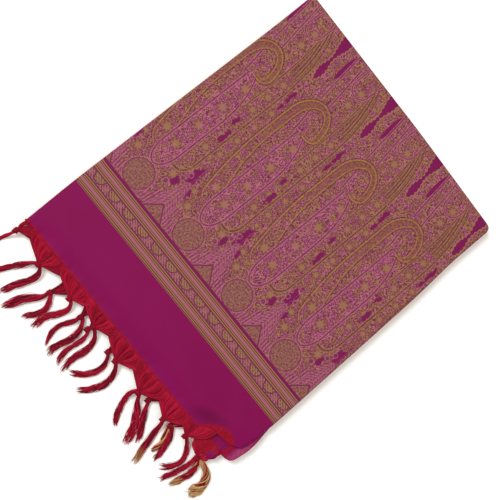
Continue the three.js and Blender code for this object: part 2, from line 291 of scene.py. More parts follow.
@dataclass(frozen=True)
class Threads:
    """The colours of the pallu's threads, as its finished cloth shows them, with colours of painted light and shade
    for the plain band and the sheer lobe.
    """

    ground: tuple = dyed(112, 42, 72)
    bare: tuple = dyed(118, 22, 78)
    olive: tuple = dyed(150, 108, 74)
    pink: tuple = dyed(172, 96, 122)
    rose: tuple = dyed(158, 92, 106)
    gold: tuple = dyed(154, 114, 54)
    bronze: tuple = dyed(134, 86, 60)
    tan: tuple = dyed(148, 108, 80)
    brown: tuple = dyed(96, 40, 50)
    dome: tuple = dyed(112, 60, 64)
    dome_light: tuple = dyed(148, 98, 86)
    plain: tuple = dyed(127, 10, 77)
    # Painted shade and light of the plain band's swells:
    plain_swell_shade: tuple = dyed(121, 8, 70)
    plain_swell_light: tuple = dyed(129, 10, 84)
    # Painted shade of the plain band's dip by the right corner:
    plain_dip_shade: tuple = dyed(103, 6, 61)
    red: tuple = dyed(156, 12, 38)
    red_deep: tuple = dyed(92, 8, 28)
    # Painted light, where light shows through the sheer turned lobe:
    sheer_lobe_light: tuple = dyed(162, 58, 102)


@dataclass(frozen=True)
class HookLine:
    """One line of the gold hook: two uprights whose feet swing in, joined by a round top."""

    middle: float  # where its top is centred
    half: float  # how far it stands to each side of that
    swing: float  # how far its foot comes back in
    swing_from: float  # the height under which the foot swings in
    top: float  # the height at which its top starts to round
    rise: float  # how far its top rises above that


@dataclass(frozen=True)
class Curl:
    """One line of the small round end that the hook curls into."""

    middle: float
    half: float
    tall: float


@dataclass(frozen=True)
class Flowers:
    """A column of flowers that recurs in each repeat."""

    middle: float
    first: float  # the height of the first one
    pitch: float
    radius: float
    low: float  # the heights between which they stand
    high: float


class PalluChart:
    """The pallu's chart, drawn with formulas: hooked paisleys, a striped border and a plain band.

    The paisley field repeats across the cloth. All places are in millimetres, from the chart's origin.
    """

    REPEAT = 72.0
    FIELD_START = -50.0
    FIELD_LENGTH = 252.0
    GROUND_LINE = -53.4
    BORDER = -84.4
    STRIPE_MIDDLES = (-78.4, -58.4)
    STRIPE_HALF = 5.8
    STRIPE_PITCH = 1.9
    VINE_MIDDLE = -68.4
    VINE_HALF = 4.2
    BOWL_PITCH = REPEAT / 3.5
    BOWL_START = 7.3
    OUTER_HOOK = HookLine(12.5, 20.5, 9.5, 80.0, 115.0, 27.5)
    INNER_HOOK = HookLine(14.0, 14.0, 21.0, 85.0, 113.0, 24.0)
    OUTER_CURL = Curl(22.5, 10.5, 8.5)
    INNER_CURL = Curl(23.0, 5.0, 3.6)
    DOME = (25.2, -36.0)  # the middle of the dome at the foot of each repeat
    DOME_RADIUS = 14.1
    WEDGE_TOP = 200.0  # where the bare wedges are widest, at the far fold
    SCROLL_SCALE = 0.19  # florets to the millimetre
    # Middles, heights, half widths and half heights of the small bare places
    BARE_PLACES = (
        (-12.5, 3.0, 4.2, 11.0),
        (46.5, 46.0, 2.6, 8.0),
        (42.0, 66.0, 2.2, 4.5),
        (-5.0, -13.0, 2.6, 5.0),
        (50.5, -14.0, 3.0, 5.0),
        (56.5, 122.0, 2.2, 8.0),
        (57.5, 107.0, 1.8, 4.5),
    )
    FLOWERS = (
        Flowers(24.3, 8.0, 28.0, 5.2, -18.0, 100.0),
        Flowers(43.5, 28.0, 19.0, 4.0, 18.0, 180.0),
        Flowers(7.0, 12.0, 200.0, 5.2, 0.0, 30.0),
        Flowers(24.0, 161.0, 17.0, 4.4, 152.0, 190.0),
        Flowers(-14.5, 34.0, 21.0, 3.6, 25.0, 135.0),
        Flowers(44.5, -11.5, 400.0, 4.8, -18.0, -5.0),
        Flowers(-2.5, -6.0, 400.0, 3.6, -11.0, -1.0),
        Flowers(4.3, -19.9, 400.0, 4.4, -26.0, -14.0),
    )
    # Painted shade on the plain band, over the soft dip where its silk turns from the light: its middle and half
    # sizes
    PAINTED_SHADE = (95.5, -126.0)
    PAINTED_SHADE_SIZE = (24.0, 9.0)
    PAINTED_SHADE_RUN = (0.89, 0.46)
    # Middles and radii of the small rings round the bare places
    RINGS = (
        (45.0, -20.7, 2.6),
        (53.0, -7.0, 2.3),
        (56.3, 0.5, 2.3),
        (-7.0, 2.0, 2.0),
        (52.5, 134.0, 2.2),
        (57.0, 140.0, 1.9),
        (61.0, 163.0, 2.2),
        (41.5, 175.0, 1.9),
    )
    # Middle, height and radius of the cup at the top of the repeat
    CUP = (21.0, 181.0, 9.5)

    def __init__(self, graph: Graph, threads: Threads) -> None:
        """Read the piece's cloth map.

        Args:
            graph: The material's nodes.
            threads: The colours.
        """
        self.graph = graph
        self.threads = threads
        self.x, whole_y = graph.cloth_map()
        rows = ((whole_y - self.FIELD_START).at_least(0.0) / self.FIELD_LENGTH).math("FLOOR")
        self.y = whole_y - rows * self.FIELD_LENGTH

    def across(self, middle: Value | float) -> Value:
        """Measure across the cloth from a line that recurs in each repeat."""
        return (self.x - middle).wrapped(self.REPEAT)

    def above(self, height: float, softness: float = 1.0) -> Value:
        """Mask the cloth above a height."""
        return (self.y - height).inside(softness)

    def rosette(self, dx: Value, dy: Value, radius: float, petals: int) -> Value:
        """Mask a small flower, with a ring between its petals and its heart.

        Args:
            dx: Distance from its middle across.
            dy: Distance from its middle along.
            radius: Its size.
            petals: How many petals it has.

        Returns:
            The mask of its threads.
        """
        away = self.graph.length(dx, dy)
        turn = self.graph.math("ARCTAN2", dy, dx)
        reach = (turn * float(petals)).math("COSINE") * (0.2 * radius) + 0.8 * radius
        ring = (away - 0.5 * radius).line(0.12 * radius)
        return (reach - away).inside(0.5) & (1.0 - ring)

    def oval(self, dx: Value, dy: Value, half: Value | float, tall: float) -> Value:
        """Measure the distance to an oval, negative inside.

        Args:
            dx: Distance from its middle across.
            dy: Distance from its middle along.
            half: Its half width.
            tall: Its half height.

        Returns:
            About the distance to its outline.
        """
        share = self.graph.length(dx / half, dy / tall)
        slope = self.graph.length(dx / half / half, dy / (tall * tall))
        return share * (share - 1.0) / slope.at_least(0.001)

    def hook(self, line: HookLine) -> Value:
        """Measure about the distance to one line of the gold hook."""
        swung = ((line.swing_from - self.y).at_least(0.0) / line.swing_from).squared() * line.swing
        rounding = (self.y - line.top).at_least(0.0) + (3.0 - self.y).at_least(0.0) * 2.1
        return self.oval(self.across(line.middle) - swung, rounding, line.half, line.rise)

    def curl(self, line: Curl, top: float) -> Value:
        """Measure about the distance to one line of the hook's curled end, below a height."""
        return self.oval(self.across(line.middle), (self.y - top).at_most(0.0), line.half, line.tall)

    def hooks(self) -> tuple[Value, Value, Value]:
        """Draw the large hook that each paisley ends in.

        Returns:
            Masks of its gold lines, of the dark lines beside them, and of the band between them.
        """
        top = self.OUTER_HOOK.top
        outer, inner = self.hook(self.OUTER_HOOK), self.hook(self.INNER_HOOK)
        curl_out = self.curl(self.OUTER_CURL, top)
        curl_in = self.curl(self.INNER_CURL, self.INNER_HOOK.top)
        left = (-self.across(13.0)).inside(1.0)
        end = (top - self.y).inside(1.0) & self.across(18.0).inside(1.0)
        sides = left | self.above(top)
        lines = (outer.line(0.75) & sides) | (inner.line(0.55) & sides & self.above(19.0))
        lines = lines | (curl_out.line(0.75) & end) | (curl_in.line(0.55) & end)
        shadow = ((outer - 1.4).line(0.5) & sides) | ((inner + 1.3).line(0.45) & sides & self.above(19.0))
        shadow = shadow | ((curl_out - 1.4).line(0.5) & end) | ((outer + 1.3).line(0.3) & left)
        band = (-outer).inside(0.6) & inner.inside(0.6) & sides & self.above(90.0, 80.0)
        return lines, shadow, band | ((-curl_out).inside(0.6) & curl_in.inside(0.6) & end)

    def teardrop(self) -> tuple[Value, Value]:
        """Measure into the long inner teardrop, from its sides.

        Returns:
            The distance in from its outline, and the distance in from its left side alone.
        """
        bow = ((self.y - 50.0).at_least(0.0) / 75.0).squared() * 7.7
        left = self.across(12.2) + bow
        narrowing = ((self.y - 40.0).at_least(0.0) / 66.0).math("POWER", 3.0) * 13.0
        right = -(self.across(36.4) + narrowing)
        foot = self.oval(self.across(24.3), (self.y - 2.0).at_most(0.0), 12.1, 22.5)
        return left.at_most(right).at_most(-foot), left

    def contours(self) -> tuple[Value, Value]:
        """Measure the distance to the two lines that bow round the paisley's right side."""
        turn = ((self.y - 85.0).at_least(0.0) / 116.0).math("POWER", 3.2)
        dx = self.across(41.0) + turn * 21.0
        outer = self.graph.length(dx.at_least(0.0), (self.y - 8.0).at_most(0.0) * 0.72) - 10.0
        return outer, self.across(36.0) + turn * 9.0

    def bare_ground(self, curl: Value) -> tuple[Value, Value]:
        """Find the ground that stays bare: scalloped wedges, slim lenses and small places.

        Args:
            curl: Noise that curls the edges of the small places.

        Returns:
            Their mask, and the distance into the wedges.
        """
        neck = ((self.y - 162.0) * (FULL_TURN / 30.0)).math("COSINE") * 1.2 + 2.5
        scallop = (self.y * (FULL_TURN / 4.6)).math("SINE") * 0.5
        flare, taper = (self.y - 189.0).at_least(0.0) * 0.28, (155.0 - self.y).at_least(0.0) * 0.22
        half = neck + scallop + flare - taper
        wedge = half - abs(self.across(49.0 + (self.WEDGE_TOP - self.y) * 0.13))
        wedge = wedge.at_most((self.y - 141.0) * 0.6)
        up = self.y - 181.0
        lens = self.graph.length(self.across(-4.8 - up * 0.06) / 2.7, up / 15.5)
        found = wedge.inside(0.5) | (1.0 - lens).inside(0.2)
        for x, y, half_width, tall in self.BARE_PLACES:
            share = self.graph.length(self.across(x) / half_width, (self.y - y) / tall)
            found = found | (1.0 - share + (curl - 0.5) * 1.8).inside(0.3)
        return found, wedge

    def scrolls(self, curl: Value) -> tuple[Value, Value]:
        """Fill the field with curling stems, with florets between them.

        Args:
            curl: Noise that the stems follow.

        Returns:
            The mask of their threads, and how much it belongs to the florets.
        """
        graph = self.graph
        stems = ((curl * 25.0).math("SINE") + 0.15).inside(1.2)
        scaled = graph.flat(self.x, self.y, self.SCROLL_SCALE)
        inputs = {"Vector": scaled, "Scale": 1.0, "Randomness": 0.85}
        cells = graph.node("ShaderNodeTexVoronoi", {"voronoi_dimensions": "2D"}, inputs)
        settings = {"operation": "SUBTRACT"}
        local = graph.node("ShaderNodeVectorMath", settings, {0: scaled, 1: cells.outputs["Position"]})
        parts = graph.node("ShaderNodeSeparateXYZ", inputs={0: local.outputs[0]})
        dx, dy = (Value(graph, parts.outputs[i]) / self.SCROLL_SCALE for i in (0, 1))
        tint = graph.node("ShaderNodeSeparateColor", inputs={0: cells.outputs["Color"]})
        chosen = Value(graph, tint.outputs[0])
        area = (2.5 - graph.length(dx, dy)).inside(0.5) & (chosen - 0.45).inside(0.02)
        petals = self.rosette(dx, dy, 2.2, 6)
        return stems + area * (petals - stems), area

    def field(self) -> tuple[bpy.types.NodeSocket, Value]:
        """Colour the paisley field.

        Returns:
            Its colour, and where its pattern threads lie over the ground.
        """
        graph, threads = self.graph, self.threads
        curl = graph.noise(graph.flat(self.x, self.y * 0.85, 0.25), 1.0, 0.45)
        bare, wedge = self.bare_ground(curl)
        drop, drop_left = self.teardrop()
        lines, shadow, band = self.hooks()
        lit, area = self.scrolls(curl)
        patch = graph.noise(graph.flat(self.x, self.y, 0.14), 2.0, 0.6)
        pinker = (patch - 0.56) * 5.0 + area * 0.35 + drop.inside(1.0) * 0.65
        for row in self.FLOWERS:
            dx, dy = self.across(row.middle), (self.y - row.first).wrapped(row.pitch)
            away = graph.length(dx, dy)
            here = (row.radius + 0.4 - away).inside(0.6)
            here = here & self.above(row.low) & (row.high - self.y).inside(1.0)
            heart = (0.6 * row.radius - away).inside() * 0.9
            flower = (self.rosette(dx, dy, row.radius, 7) * 0.6 + 0.25) | heart
            lit = lit + here * (flower - lit)
            pinker = pinker - here * 0.7
        lit = lit & (1.0 - bare)
        pinker = pinker.clamped(0.3)
        colour = graph.mix(threads.ground, threads.bare, bare)
        colour = graph.mix(colour, graph.mix(threads.olive, threads.pink, pinker), lit)
        beads = (graph.noise(graph.flat(self.x, self.y, 0.5), 1.0, 0.5) - 0.5) * 5.0 + 0.8
        colour = graph.mix(colour, graph.mix(threads.ground, threads.bronze, beads), band * 0.8)
        worn = self.worn()
        colour = self.lay_lines(colour, drop, drop_left, wedge, worn)
        colour = graph.mix(colour, threads.brown, shadow & worn)
        return self.lay_foot(graph.mix(colour, threads.gold, lines & worn), worn), lit

    def worn(self) -> Value:
        """Mask the places where the lines' threads show well, as they come and go across the weave."""
        grain = self.graph.noise(self.graph.flat(self.x, self.y, 0.55), 2.0, 0.7)
        return ((grain - 0.5) * 3.0).clamped(0.72)

    def lay_lines(
        self, colour: object, drop: Value, drop_left: Value, wedge: Value, worn: Value
    ) -> bpy.types.NodeSocket:
        """Draw the large paisleys' lines over the scrolls.

        Args:
            colour: The colour underneath.
            drop: Distance into the teardrop.
            drop_left: Distance in from its left side.
            wedge: Distance into the bare wedges.
            worn: Mask of the threads that show well.

        Returns:
            The colour with the lines.
        """
        graph, threads = self.graph, self.threads
        low, head = (106.0 - self.y).inside(1.0), self.above(105.0) & (128.0 - self.y).inside(2.0)
        channel = ((drop - 1.2).line(0.7) & low) | ((drop_left - 1.2).line(0.6) & head)
        colour = graph.mix(colour, threads.ground, channel * 0.75)
        colour = graph.mix(colour, threads.pink, (abs(drop - 1.2) - 1.2).line(0.45) & low & worn)
        colour = graph.mix(colour, threads.pink, (abs(drop_left - 1.2) - 1.2).line(0.4) & head & worn)
        outer, inner = self.contours()
        right = self.across(36.5).inside(1.0)
        ribs = self.above(136.0, 8.0) & (-outer).inside(1.0) & (outer + 10.0).inside() & inner.inside()
        colour = graph.mix(colour, threads.brown, ribs * 0.7)
        fine = (0.75 - abs(outer.wrapped(2.9))).inside(0.5)
        colour = graph.mix(colour, threads.olive, fine & ribs & worn)
        colour = graph.mix(colour, threads.brown, outer.line(1.3) & right & worn)
        colour = graph.mix(colour, threads.olive, (abs(outer) - 1.1).line(0.5) & right & worn)
        high = self.above(84.0)
        colour = graph.mix(colour, threads.brown, inner.line(1.1) & high & worn)
        colour = graph.mix(colour, threads.olive, (abs(inner) - 0.9).line(0.45) & high & worn)
        row = self.above(144.0)
        for middle, slope, start in ((1.9, 0.127, 150.0), (11.0, 0.167, 165.0)):
            slant = self.across(middle - (self.y - start) * slope)
            colour = graph.mix(colour, threads.brown, slant.line(1.2) & row & worn)
            colour = graph.mix(colour, threads.pink, (abs(slant) - 1.0).line(0.45) & row & worn)
        for middle, height, radius in self.RINGS:
            ring = graph.length(self.across(middle), self.y - height) - radius
            colour = graph.mix(colour, threads.ground, (-ring).inside() * 0.7)
            colour = graph.mix(colour, threads.pink, ring.line(0.4) & worn)
        middle, height, radius = self.CUP
        cup = graph.length(self.across(middle), (self.y - height).at_most(0.0)) - radius
        colour = graph.mix(colour, threads.brown, cup.line(1.2) & self.above(168.0) & worn)
        colour = graph.mix(colour, threads.pink, (abs(cup) - 0.9).line(0.45) & self.above(168.0) & worn)
        return graph.mix(colour, threads.olive, (wedge + 0.9).line(0.45) & self.above(146.0))

    def lay_foot(self, colour: object, worn: Value) -> bpy.types.NodeSocket:
        """Draw the foot of the field: domes, and pointed leaves over gables between them.

        Args:
            colour: The colour underneath.
            worn: Mask of the threads that show well.

        Returns:
            The colour with the foot of the field.
        """
        graph, threads = self.graph, self.threads
        side = abs(self.across(-10.5))
        gable = (self.y + 36.0 + side * 1.2) * 0.64
        over = (gable - 0.6).inside(0.5)
        lower, upper = (9.0 - abs(side - 14.0)).inside(1.0), (5.5 - abs(side - 9.5)).inside(1.0)
        strokes = (0.75 - abs((side + self.y * 0.12).wrapped(3.0))).inside(0.5)
        comb = lower & (4.8 - abs(self.y + 44.2)).inside(0.6)
        comb = comb | (upper & (4.6 - abs(self.y + 33.4)).inside(0.6))
        colour = graph.mix(colour, threads.ground, comb & over & 0.6)
        colour = graph.mix(colour, threads.pink, comb & strokes & over & worn)
        width = ((-3.6 - self.y).at_least(0.01) / 28.0).math("SQRT") * 8.4
        nested = side / width
        leaf = ((1.0 - nested) * 5.0).inside(0.8) & over
        fronds = (nested * 13.0).math("COSINE") * 0.5 + (self.y * 2.0 + side * 1.6).math("SINE") * 0.6
        fronds = (fronds + (worn - 0.6) * 1.6).inside(1.8)
        colour = graph.mix(colour, graph.mix(threads.ground, threads.pink, fronds), leaf * 0.7)
        middle, height = self.DOME
        away = graph.length(self.across(middle), self.y - height)
        speckle = graph.noise(graph.flat(self.x, self.y, 0.55), 2.0, 0.7)
        rings = (away * 2.1).math("SINE") * 0.1 + (speckle - 0.5) * 4.2 + 0.55
        fill = graph.mix(threads.dome, threads.dome_light, rings)
        beyond = away - self.DOME_RADIUS
        colour = graph.mix(colour, threads.pink, (beyond - 1.8).line(0.4) & worn)
        colour = graph.mix(colour, threads.ground, (beyond - 0.5).line(0.6) * 0.75)
        colour = graph.mix(colour, fill, (-beyond).inside(0.8))
        colour = graph.mix(colour, fill, (-gable - 0.8).inside())
        return graph.mix(colour, threads.ground, gable.line(0.6) & (-34.5 - self.y).inside(1.0))

    def border(self) -> bpy.types.NodeSocket:
        """Colour the border: two groups of stripes with a row of flower bowls between them."""
        graph, threads = self.graph, self.threads
        lower, upper = (abs(self.y - middle) for middle in self.STRIPE_MIDDLES)
        stripe = lower.at_most(upper)
        thin = (0.48 - abs((stripe - 2.35).wrapped(self.STRIPE_PITCH))).inside(0.4)
        colour = graph.mix(threads.brown, threads.olive, thin)
        colour = graph.mix(colour, threads.rose, (1.3 - stripe).inside(0.5))
        dx = (self.x - self.BOWL_START).wrapped(self.BOWL_PITCH)
        bowl = self.oval(dx, self.y + 65.0, 6.6, 6.2)
        speckle = graph.noise(graph.flat(self.x, self.y, 0.7), 1.0, 0.6)
        strokes = ((self.x * 0.8 + self.y) * 2.1).math("SINE") * 0.5 + (speckle - 0.5) * 2.4
        row = graph.mix(threads.brown, threads.rose, strokes + 0.7)
        between = (self.x - self.BOWL_START + self.BOWL_PITCH / 2).wrapped(self.BOWL_PITCH)
        row = graph.mix(row, threads.dome_light, self.rosette(between, self.y + 68.6, 2.8, 5))
        row = graph.mix(row, graph.mix(threads.brown, threads.tan, strokes + 0.8), (-bowl).inside(0.5))
        row = graph.mix(row, threads.ground, bowl.line(0.55))
        vine = (stripe - self.STRIPE_HALF).inside()
        vine = vine & (self.VINE_HALF - abs(self.y - self.VINE_MIDDLE)).inside()
        colour = graph.mix(colour, row, vine)
        edge = (stripe - self.STRIPE_HALF + 0.2).line(0.55)
        return graph.mix(colour, threads.ground, edge & (7.0 - abs(self.y - self.VINE_MIDDLE)).inside())

    def plain(self) -> bpy.types.NodeSocket:
        """Colour the plain band: noise shifts its shot silk from crimson to violet as painted light and shade of its
        soft swells, and a patch of painted shade darkens its dip by the right corner.
        """
        graph, threads = self.graph, self.threads
        # Painted light and shade: noise turns the silk from its shaded to its lit colour over the swells.
        swell = graph.noise(graph.flat(self.x, self.y, 0.016), 1.0, 0.4)
        painted_swell_light = ((swell - 0.34) * 3.0).clamped()
        painted_swell_colour = graph.mix(threads.plain_swell_shade, threads.plain_swell_light, painted_swell_light)
        colour = graph.mix(painted_swell_colour, threads.plain, 0.6)
        # Painted shade: a soft dark patch over the plain band's dip by the right corner.
        right, up = self.x - self.PAINTED_SHADE[0], self.y - self.PAINTED_SHADE[1]
        (cosine, sine), (long, wide) = self.PAINTED_SHADE_RUN, self.PAINTED_SHADE_SIZE
        share = graph.length((right * cosine + up * sine) / long, (up * cosine - right * sine) / wide)
        return graph.mix(colour, threads.plain_dip_shade, (1.0 - share).clamped())

    def colour(self) -> tuple[bpy.types.NodeSocket, Value]:
        """Colour the whole cloth.

        Returns:
            Its colour, and where its pattern threads lie over the ground.
        """
        graph = self.graph
        field_colour, relief = self.field()
        colour = graph.mix(self.plain(), self.border(), self.above(self.BORDER, 0.3))
        colour = graph.mix(colour, self.threads.bare, self.above(self.GROUND_LINE, 0.3))
        in_field = self.above(self.FIELD_START - 0.6, 0.3)
        return graph.mix(colour, field_colour, in_field), relief & in_field


@dataclass(frozen=True)
class SareeCloth:
    """The woven silk: its chart, its heading's red warps, painted light where its sheer turned edge lets light
    through, and its fine weave.
    """

    thread_pitch: float = 0.42  # millimetres
    rise: float = 0.00005

    def material(self) -> bpy.types.Material:
        """Make the material."""
        graph = Graph("saree_cloth")
        threads = Threads()
        chart = PalluChart(graph, threads)
        colour, relief = chart.colour()
        warp = (chart.x * (FULL_TURN / self.thread_pitch)).math("SINE")
        weft = (chart.y * (FULL_TURN / self.thread_pitch)).math("SINE")
        fuzz = graph.noise(graph.flat(chart.x, chart.y * 0.2, 0.9), 2.0, 0.6)
        heading = (graph.attribute("heading") - 0.4 + (fuzz - 0.5) * 5.0).inside(2.6)
        colour = graph.mix(colour, graph.mix(threads.red_deep, threads.red, fuzz * 1.9 - 0.2), heading)
        light_patches = graph.noise(graph.flat(chart.x, chart.y, 0.35), 2.0, 0.6)
        # Painted light: lilac where light shows through the sheer turned lobe, in uneven patches.
        colour = graph.mix(colour, threads.sheer_lobe_light, graph.attribute("sheer") * (light_patches * 1.6 - 0.05))
        height = warp * weft * 0.25 + relief * 0.5 + 0.25
        constants = {
            "Specular IOR Level": 0.06,
            "Sheen Weight": 0.008,
            "Sheen Roughness": 0.4,
            "Sheen Tint": dyed(214, 90, 190),
        }
        rough, normal = 0.5 + relief * 0.14, graph.bump(height, self.rise)
        return graph.surface(constants, Base_Color=colour, Roughness=rough, Normal=normal)


@dataclass(frozen=True)
class FringeYarn:
    """Twisted silk yarn, red with some of straw gold, with painted shade on warps that lie under others and in the
    grooves of its twist.
    """

    red: tuple = dyed(165, 13, 44)
    deep: tuple = dyed(88, 7, 28)
    bright: tuple = dyed(192, 24, 66)
    straw: tuple = dyed(212, 172, 112)
    bronze: tuple = dyed(136, 84, 40)
    twist: float = 1.6  # millimetres of yarn in each turn
    rise: float = 0.0001

    def material(self) -> bpy.types.Material:
        """Make the material."""
        graph = Graph("fringe_yarn")
        around, along = graph.cloth_map()
        plies = ((around * 2.0 + along / self.twist) * FULL_TURN).math("SINE")
        tone = graph.attribute("tone")
        patch = graph.noise(graph.flat(around + tone * 40.0, along, 0.35), 2.0, 0.6)
        # The tone varies at random and also carries painted shade, deep red for warps that lie under others.
        colour = graph.mix(self.deep, self.red, tone * 1.3 + patch * 0.5 - 0.2)
        colour = graph.mix(colour, self.bright, (tone + patch - 1.15).at_least(0.0) * 2.0)
        metal = graph.mix(self.bronze, self.straw, tone * 0.9 + patch * 0.5 - 0.1)
        colour = graph.mix(colour, metal, graph.attribute("gold"))
        # Painted shade in the grooves between the twist's plies.
        colour = graph.mix(colour, self.deep, (-plies).at_least(0.0) * 0.25)
        constants = {
            "Specular IOR Level": 0.1,
            "Sheen Weight": 0.03,
            "Sheen Roughness": 0.5,
            "Sheen Tint": dyed(255, 120, 140),
        }
        rough, normal = 0.5 + patch * 0.2, graph.bump(plies * 0.5 + 0.5, self.rise)
        return graph.surface(constants, Base_Color=colour, Roughness=rough, Normal=normal)


@dataclass(frozen=True)
class PaleSurface:
    """The plain white surface that the saree lies on, which glows a little, like a backlit sheet."""

    white: tuple = dyed(249, 248, 247)
    glow: tuple = dyed(255, 247, 234)
    glow_strength: float = 0.13

    def material(self) -> bpy.types.Material:
        """Make the material."""
        graph = Graph("pale_surface")
        constants = {
            "Base Color": self.white,
            "Roughness": 0.9,
            "Specular IOR Level": 0.05,
            "Emission Color": self.glow,
            "Emission Strength": self.glow_strength,
        }
        return graph.surface(constants)


# Meshes


class Draft:
    """A piece's mesh in the making: grids that formulas shape, joined into one."""

    def __init__(self, *numbers: str) -> None:
        """Start an empty mesh whose points carry the named numbers."""
        self.bm = bmesh.new()
        self.chart = self.bm.loops.layers.uv.new(CHART_MAP)
        self.numbers = {name: self.bm.verts.layers.float.new(name) for name in numbers}

    def surface(
        self, size: tuple[int, int], place: Place, chart: Place, closed: bool = False, **numbers: object
    ) -> None:
        """Add a grid and shape it.

        Args:
            size: How many cells it has across and along.
            place: Gives each point's place in millimetres from its shares across and along.
            chart: Gives its place on the cloth's chart, in millimetres.
            closed: Whether it is a tube, whose seam is merged and whose ends are closed.
            numbers: A number, or one for each point, for each name that the points carry.
        """
        made = bmesh.ops.create_grid(self.bm, x_segments=size[0], y_segments=size[1], size=0.5)["verts"]
        shares = np.array([v.co for v in made])
        across, along = shares[:, 0] + 0.5, shares[:, 1] + 0.5
        spots = place(across, along) * MM
        marks = chart(across, along) * MM
        layers = [(self.numbers[k], np.broadcast_to(v, across.shape)) for k, v in numbers.items()]
        for i, vertex in enumerate(made):
            vertex.co = spots[i]
            for loop in vertex.link_loops:
                loop[self.chart].uv = marks[i]
            for layer, values in layers:
                vertex[layer] = values[i]
        if closed:
            bmesh.ops.remove_doubles(self.bm, verts=made, dist=1e-7)
            rim = [e for v in made if v.is_valid for e in v.link_edges if e.is_boundary]
            bmesh.ops.holes_fill(self.bm, edges=list(set(rim)), sides=0)

    def merge(self, distance: float = 0.002) -> None:
        """Merge points that lie closer together than a distance in millimetres."""
        bmesh.ops.remove_doubles(self.bm, verts=self.bm.verts[:], dist=distance * MM)

    def piece(self, name: str, material: bpy.types.Material) -> bpy.types.Object:
        """Turn the mesh into a smooth-shaded object.

        Args:
            name: The object's name.
            material: Its finish.

        Returns:
            The object, at the origin.
        """
        bmesh.ops.recalc_face_normals(self.bm, faces=self.bm.faces[:])
        mesh = bpy.data.meshes.new(name)
        self.bm.to_mesh(mesh)
        self.bm.free()
        mesh.shade_smooth()
        mesh.materials.append(material)
        made = bpy.data.objects.new(name, mesh)
        bpy.context.scene.collection.objects.link(made)
        return made


class Outline:
    """A rounded outline in plan, walked counter-clockwise, whose four sides a patch of cloth spans."""

    CORNER_STEPS = 12
    STEP = 1.0

    def __init__(self, corners: Sequence[tuple[float, float, float]], ends: tuple[int, int, int, int]) -> None:
        """Round the corners.

        Args:
            corners: Each corner's place and how far from it its rounding starts.
            ends: The corners where the near, right, far and left sides start.
        """
        points, marks = [], {}
        for i, (x, y, rounding) in enumerate(corners):
            here = np.array([x, y])
            before = np.array(corners[i - 1][:2])
            following = corners[(i + 1) % len(corners)]
            after = np.array(following[:2])
            start = here + (before - here) / np.linalg.norm(before - here) * rounding
            leave = here + (after - here) / np.linalg.norm(after - here) * rounding
            meet = after + (here - after) / np.linalg.norm(here - after) * following[2]
            if i in ends:
                marks[i] = len(points) + self.CORNER_STEPS // 2
            for t in np.linspace(0, 1, self.CORNER_STEPS + 1):
                points.append((1 - t) ** 2 * start + 2 * t * (1 - t) * here + t * t * leave)
            steps = max(2, round(np.linalg.norm(meet - leave) / self.STEP))
            points.extend(leave + (meet - leave) * k / steps for k in range(1, steps))
        turned = -marks[ends[0]]
        self.points = np.roll(np.array(points), turned, axis=0)
        self.marks = [marks[e] + turned for e in ends] + [len(points)]
        along = np.roll(self.points, -1, axis=0) - np.roll(self.points, 1, axis=0)
        along /= np.linalg.norm(along, axis=1)[:, None]
        self.outward = np.stack([along[:, 1], -along[:, 0]], axis=1)

    def side(self, which: int, share: Array, grown: Array | float = 0.0) -> Array:
        """Walk one side.

        Args:
            which: 0 near, 1 right, 2 far, 3 left.
            share: How far along it, from 0 to 1.
            grown: How far outside the outline, for each of the outline's points.

        Returns:
            The places.
        """
        shifted = self.points + self.outward * np.broadcast_to(grown, len(self.points))[:, None]
        run = np.arange(self.marks[which], self.marks[which + 1] + 1) % len(self.points)
        line = shifted[run]
        walked = np.concatenate([[0], np.cumsum(np.linalg.norm(np.diff(line, axis=0), axis=1))])
        at = share * walked[-1]
        return np.stack([np.interp(at, walked, line[:, k]) for k in (0, 1)], axis=1)

    def patch(self, a: Array, b: Array, grown: Array | float = 0.0) -> Array:
        """Span the outline with a patch.

        Args:
            a: Share from left to right.
            b: Share from near to far.
            grown: How far outside the outline the patch reaches.

        Returns:
            The places in plan.
        """
        near, far = self.side(0, a, grown), self.side(2, 1 - a, grown)
        right, left = self.side(1, b, grown), self.side(3, 1 - b, grown)
        ends = [self.side(k, np.zeros(1), grown)[0] for k in range(4)]
        a, b = a[:, None], b[:, None]
        corners = (1 - a) * (1 - b) * ends[0] + a * (1 - b) * ends[1] + a * b * ends[2] + (1 - a) * b * ends[3]
        return (1 - b) * near + b * far + (1 - a) * left + a * right - corners

    def nearest(self, places: Array) -> tuple[Array, Array]:
        """Find the outline's nearest point and its outward direction for each place."""
        found = np.empty(len(places), int)
        for start in range(0, len(places), 2000):
            part = places[start : start + 2000]
            gaps = ((part[:, None, :] - self.points[None]) ** 2).sum(axis=2)
            found[start : start + 2000] = gaps.argmin(axis=1)
        return self.points[found], self.outward[found]


def graded(share: Array, edge: float, edge_share: float) -> Array:
    """Crowd a grid's lines towards both of its ends.

    Args:
        share: Even shares.
        edge: The share of the lines that go to each end.
        edge_share: The share of the length that they cover there.

    Returns:
        The graded shares.
    """
    return np.interp(share, [0, edge, 1 - edge, 1], [0, edge_share, 1 - edge_share, 1])


@dataclass(frozen=True)
class Crease:
    """A soft trough or ridge in the cloth, from one point to another."""

    x0: float
    y0: float
    x1: float
    y1: float
    width: float
    rise: float

    def height(self, x: Array, y: Array) -> Array:
        """Work out how far it lifts the cloth at each place."""
        run = np.array([self.x1 - self.x0, self.y1 - self.y0])
        share = np.clip(((x - self.x0) * run[0] + (y - self.y0) * run[1]) / (run @ run), 0, 1)
        gap = np.hypot(x - self.x0 - share * run[0], y - self.y0 - share * run[1])
        fade = 0.35 + 0.65 * np.sin(np.pi * share)
        return self.rise * fade * np.exp(-((gap / self.width) ** 2))


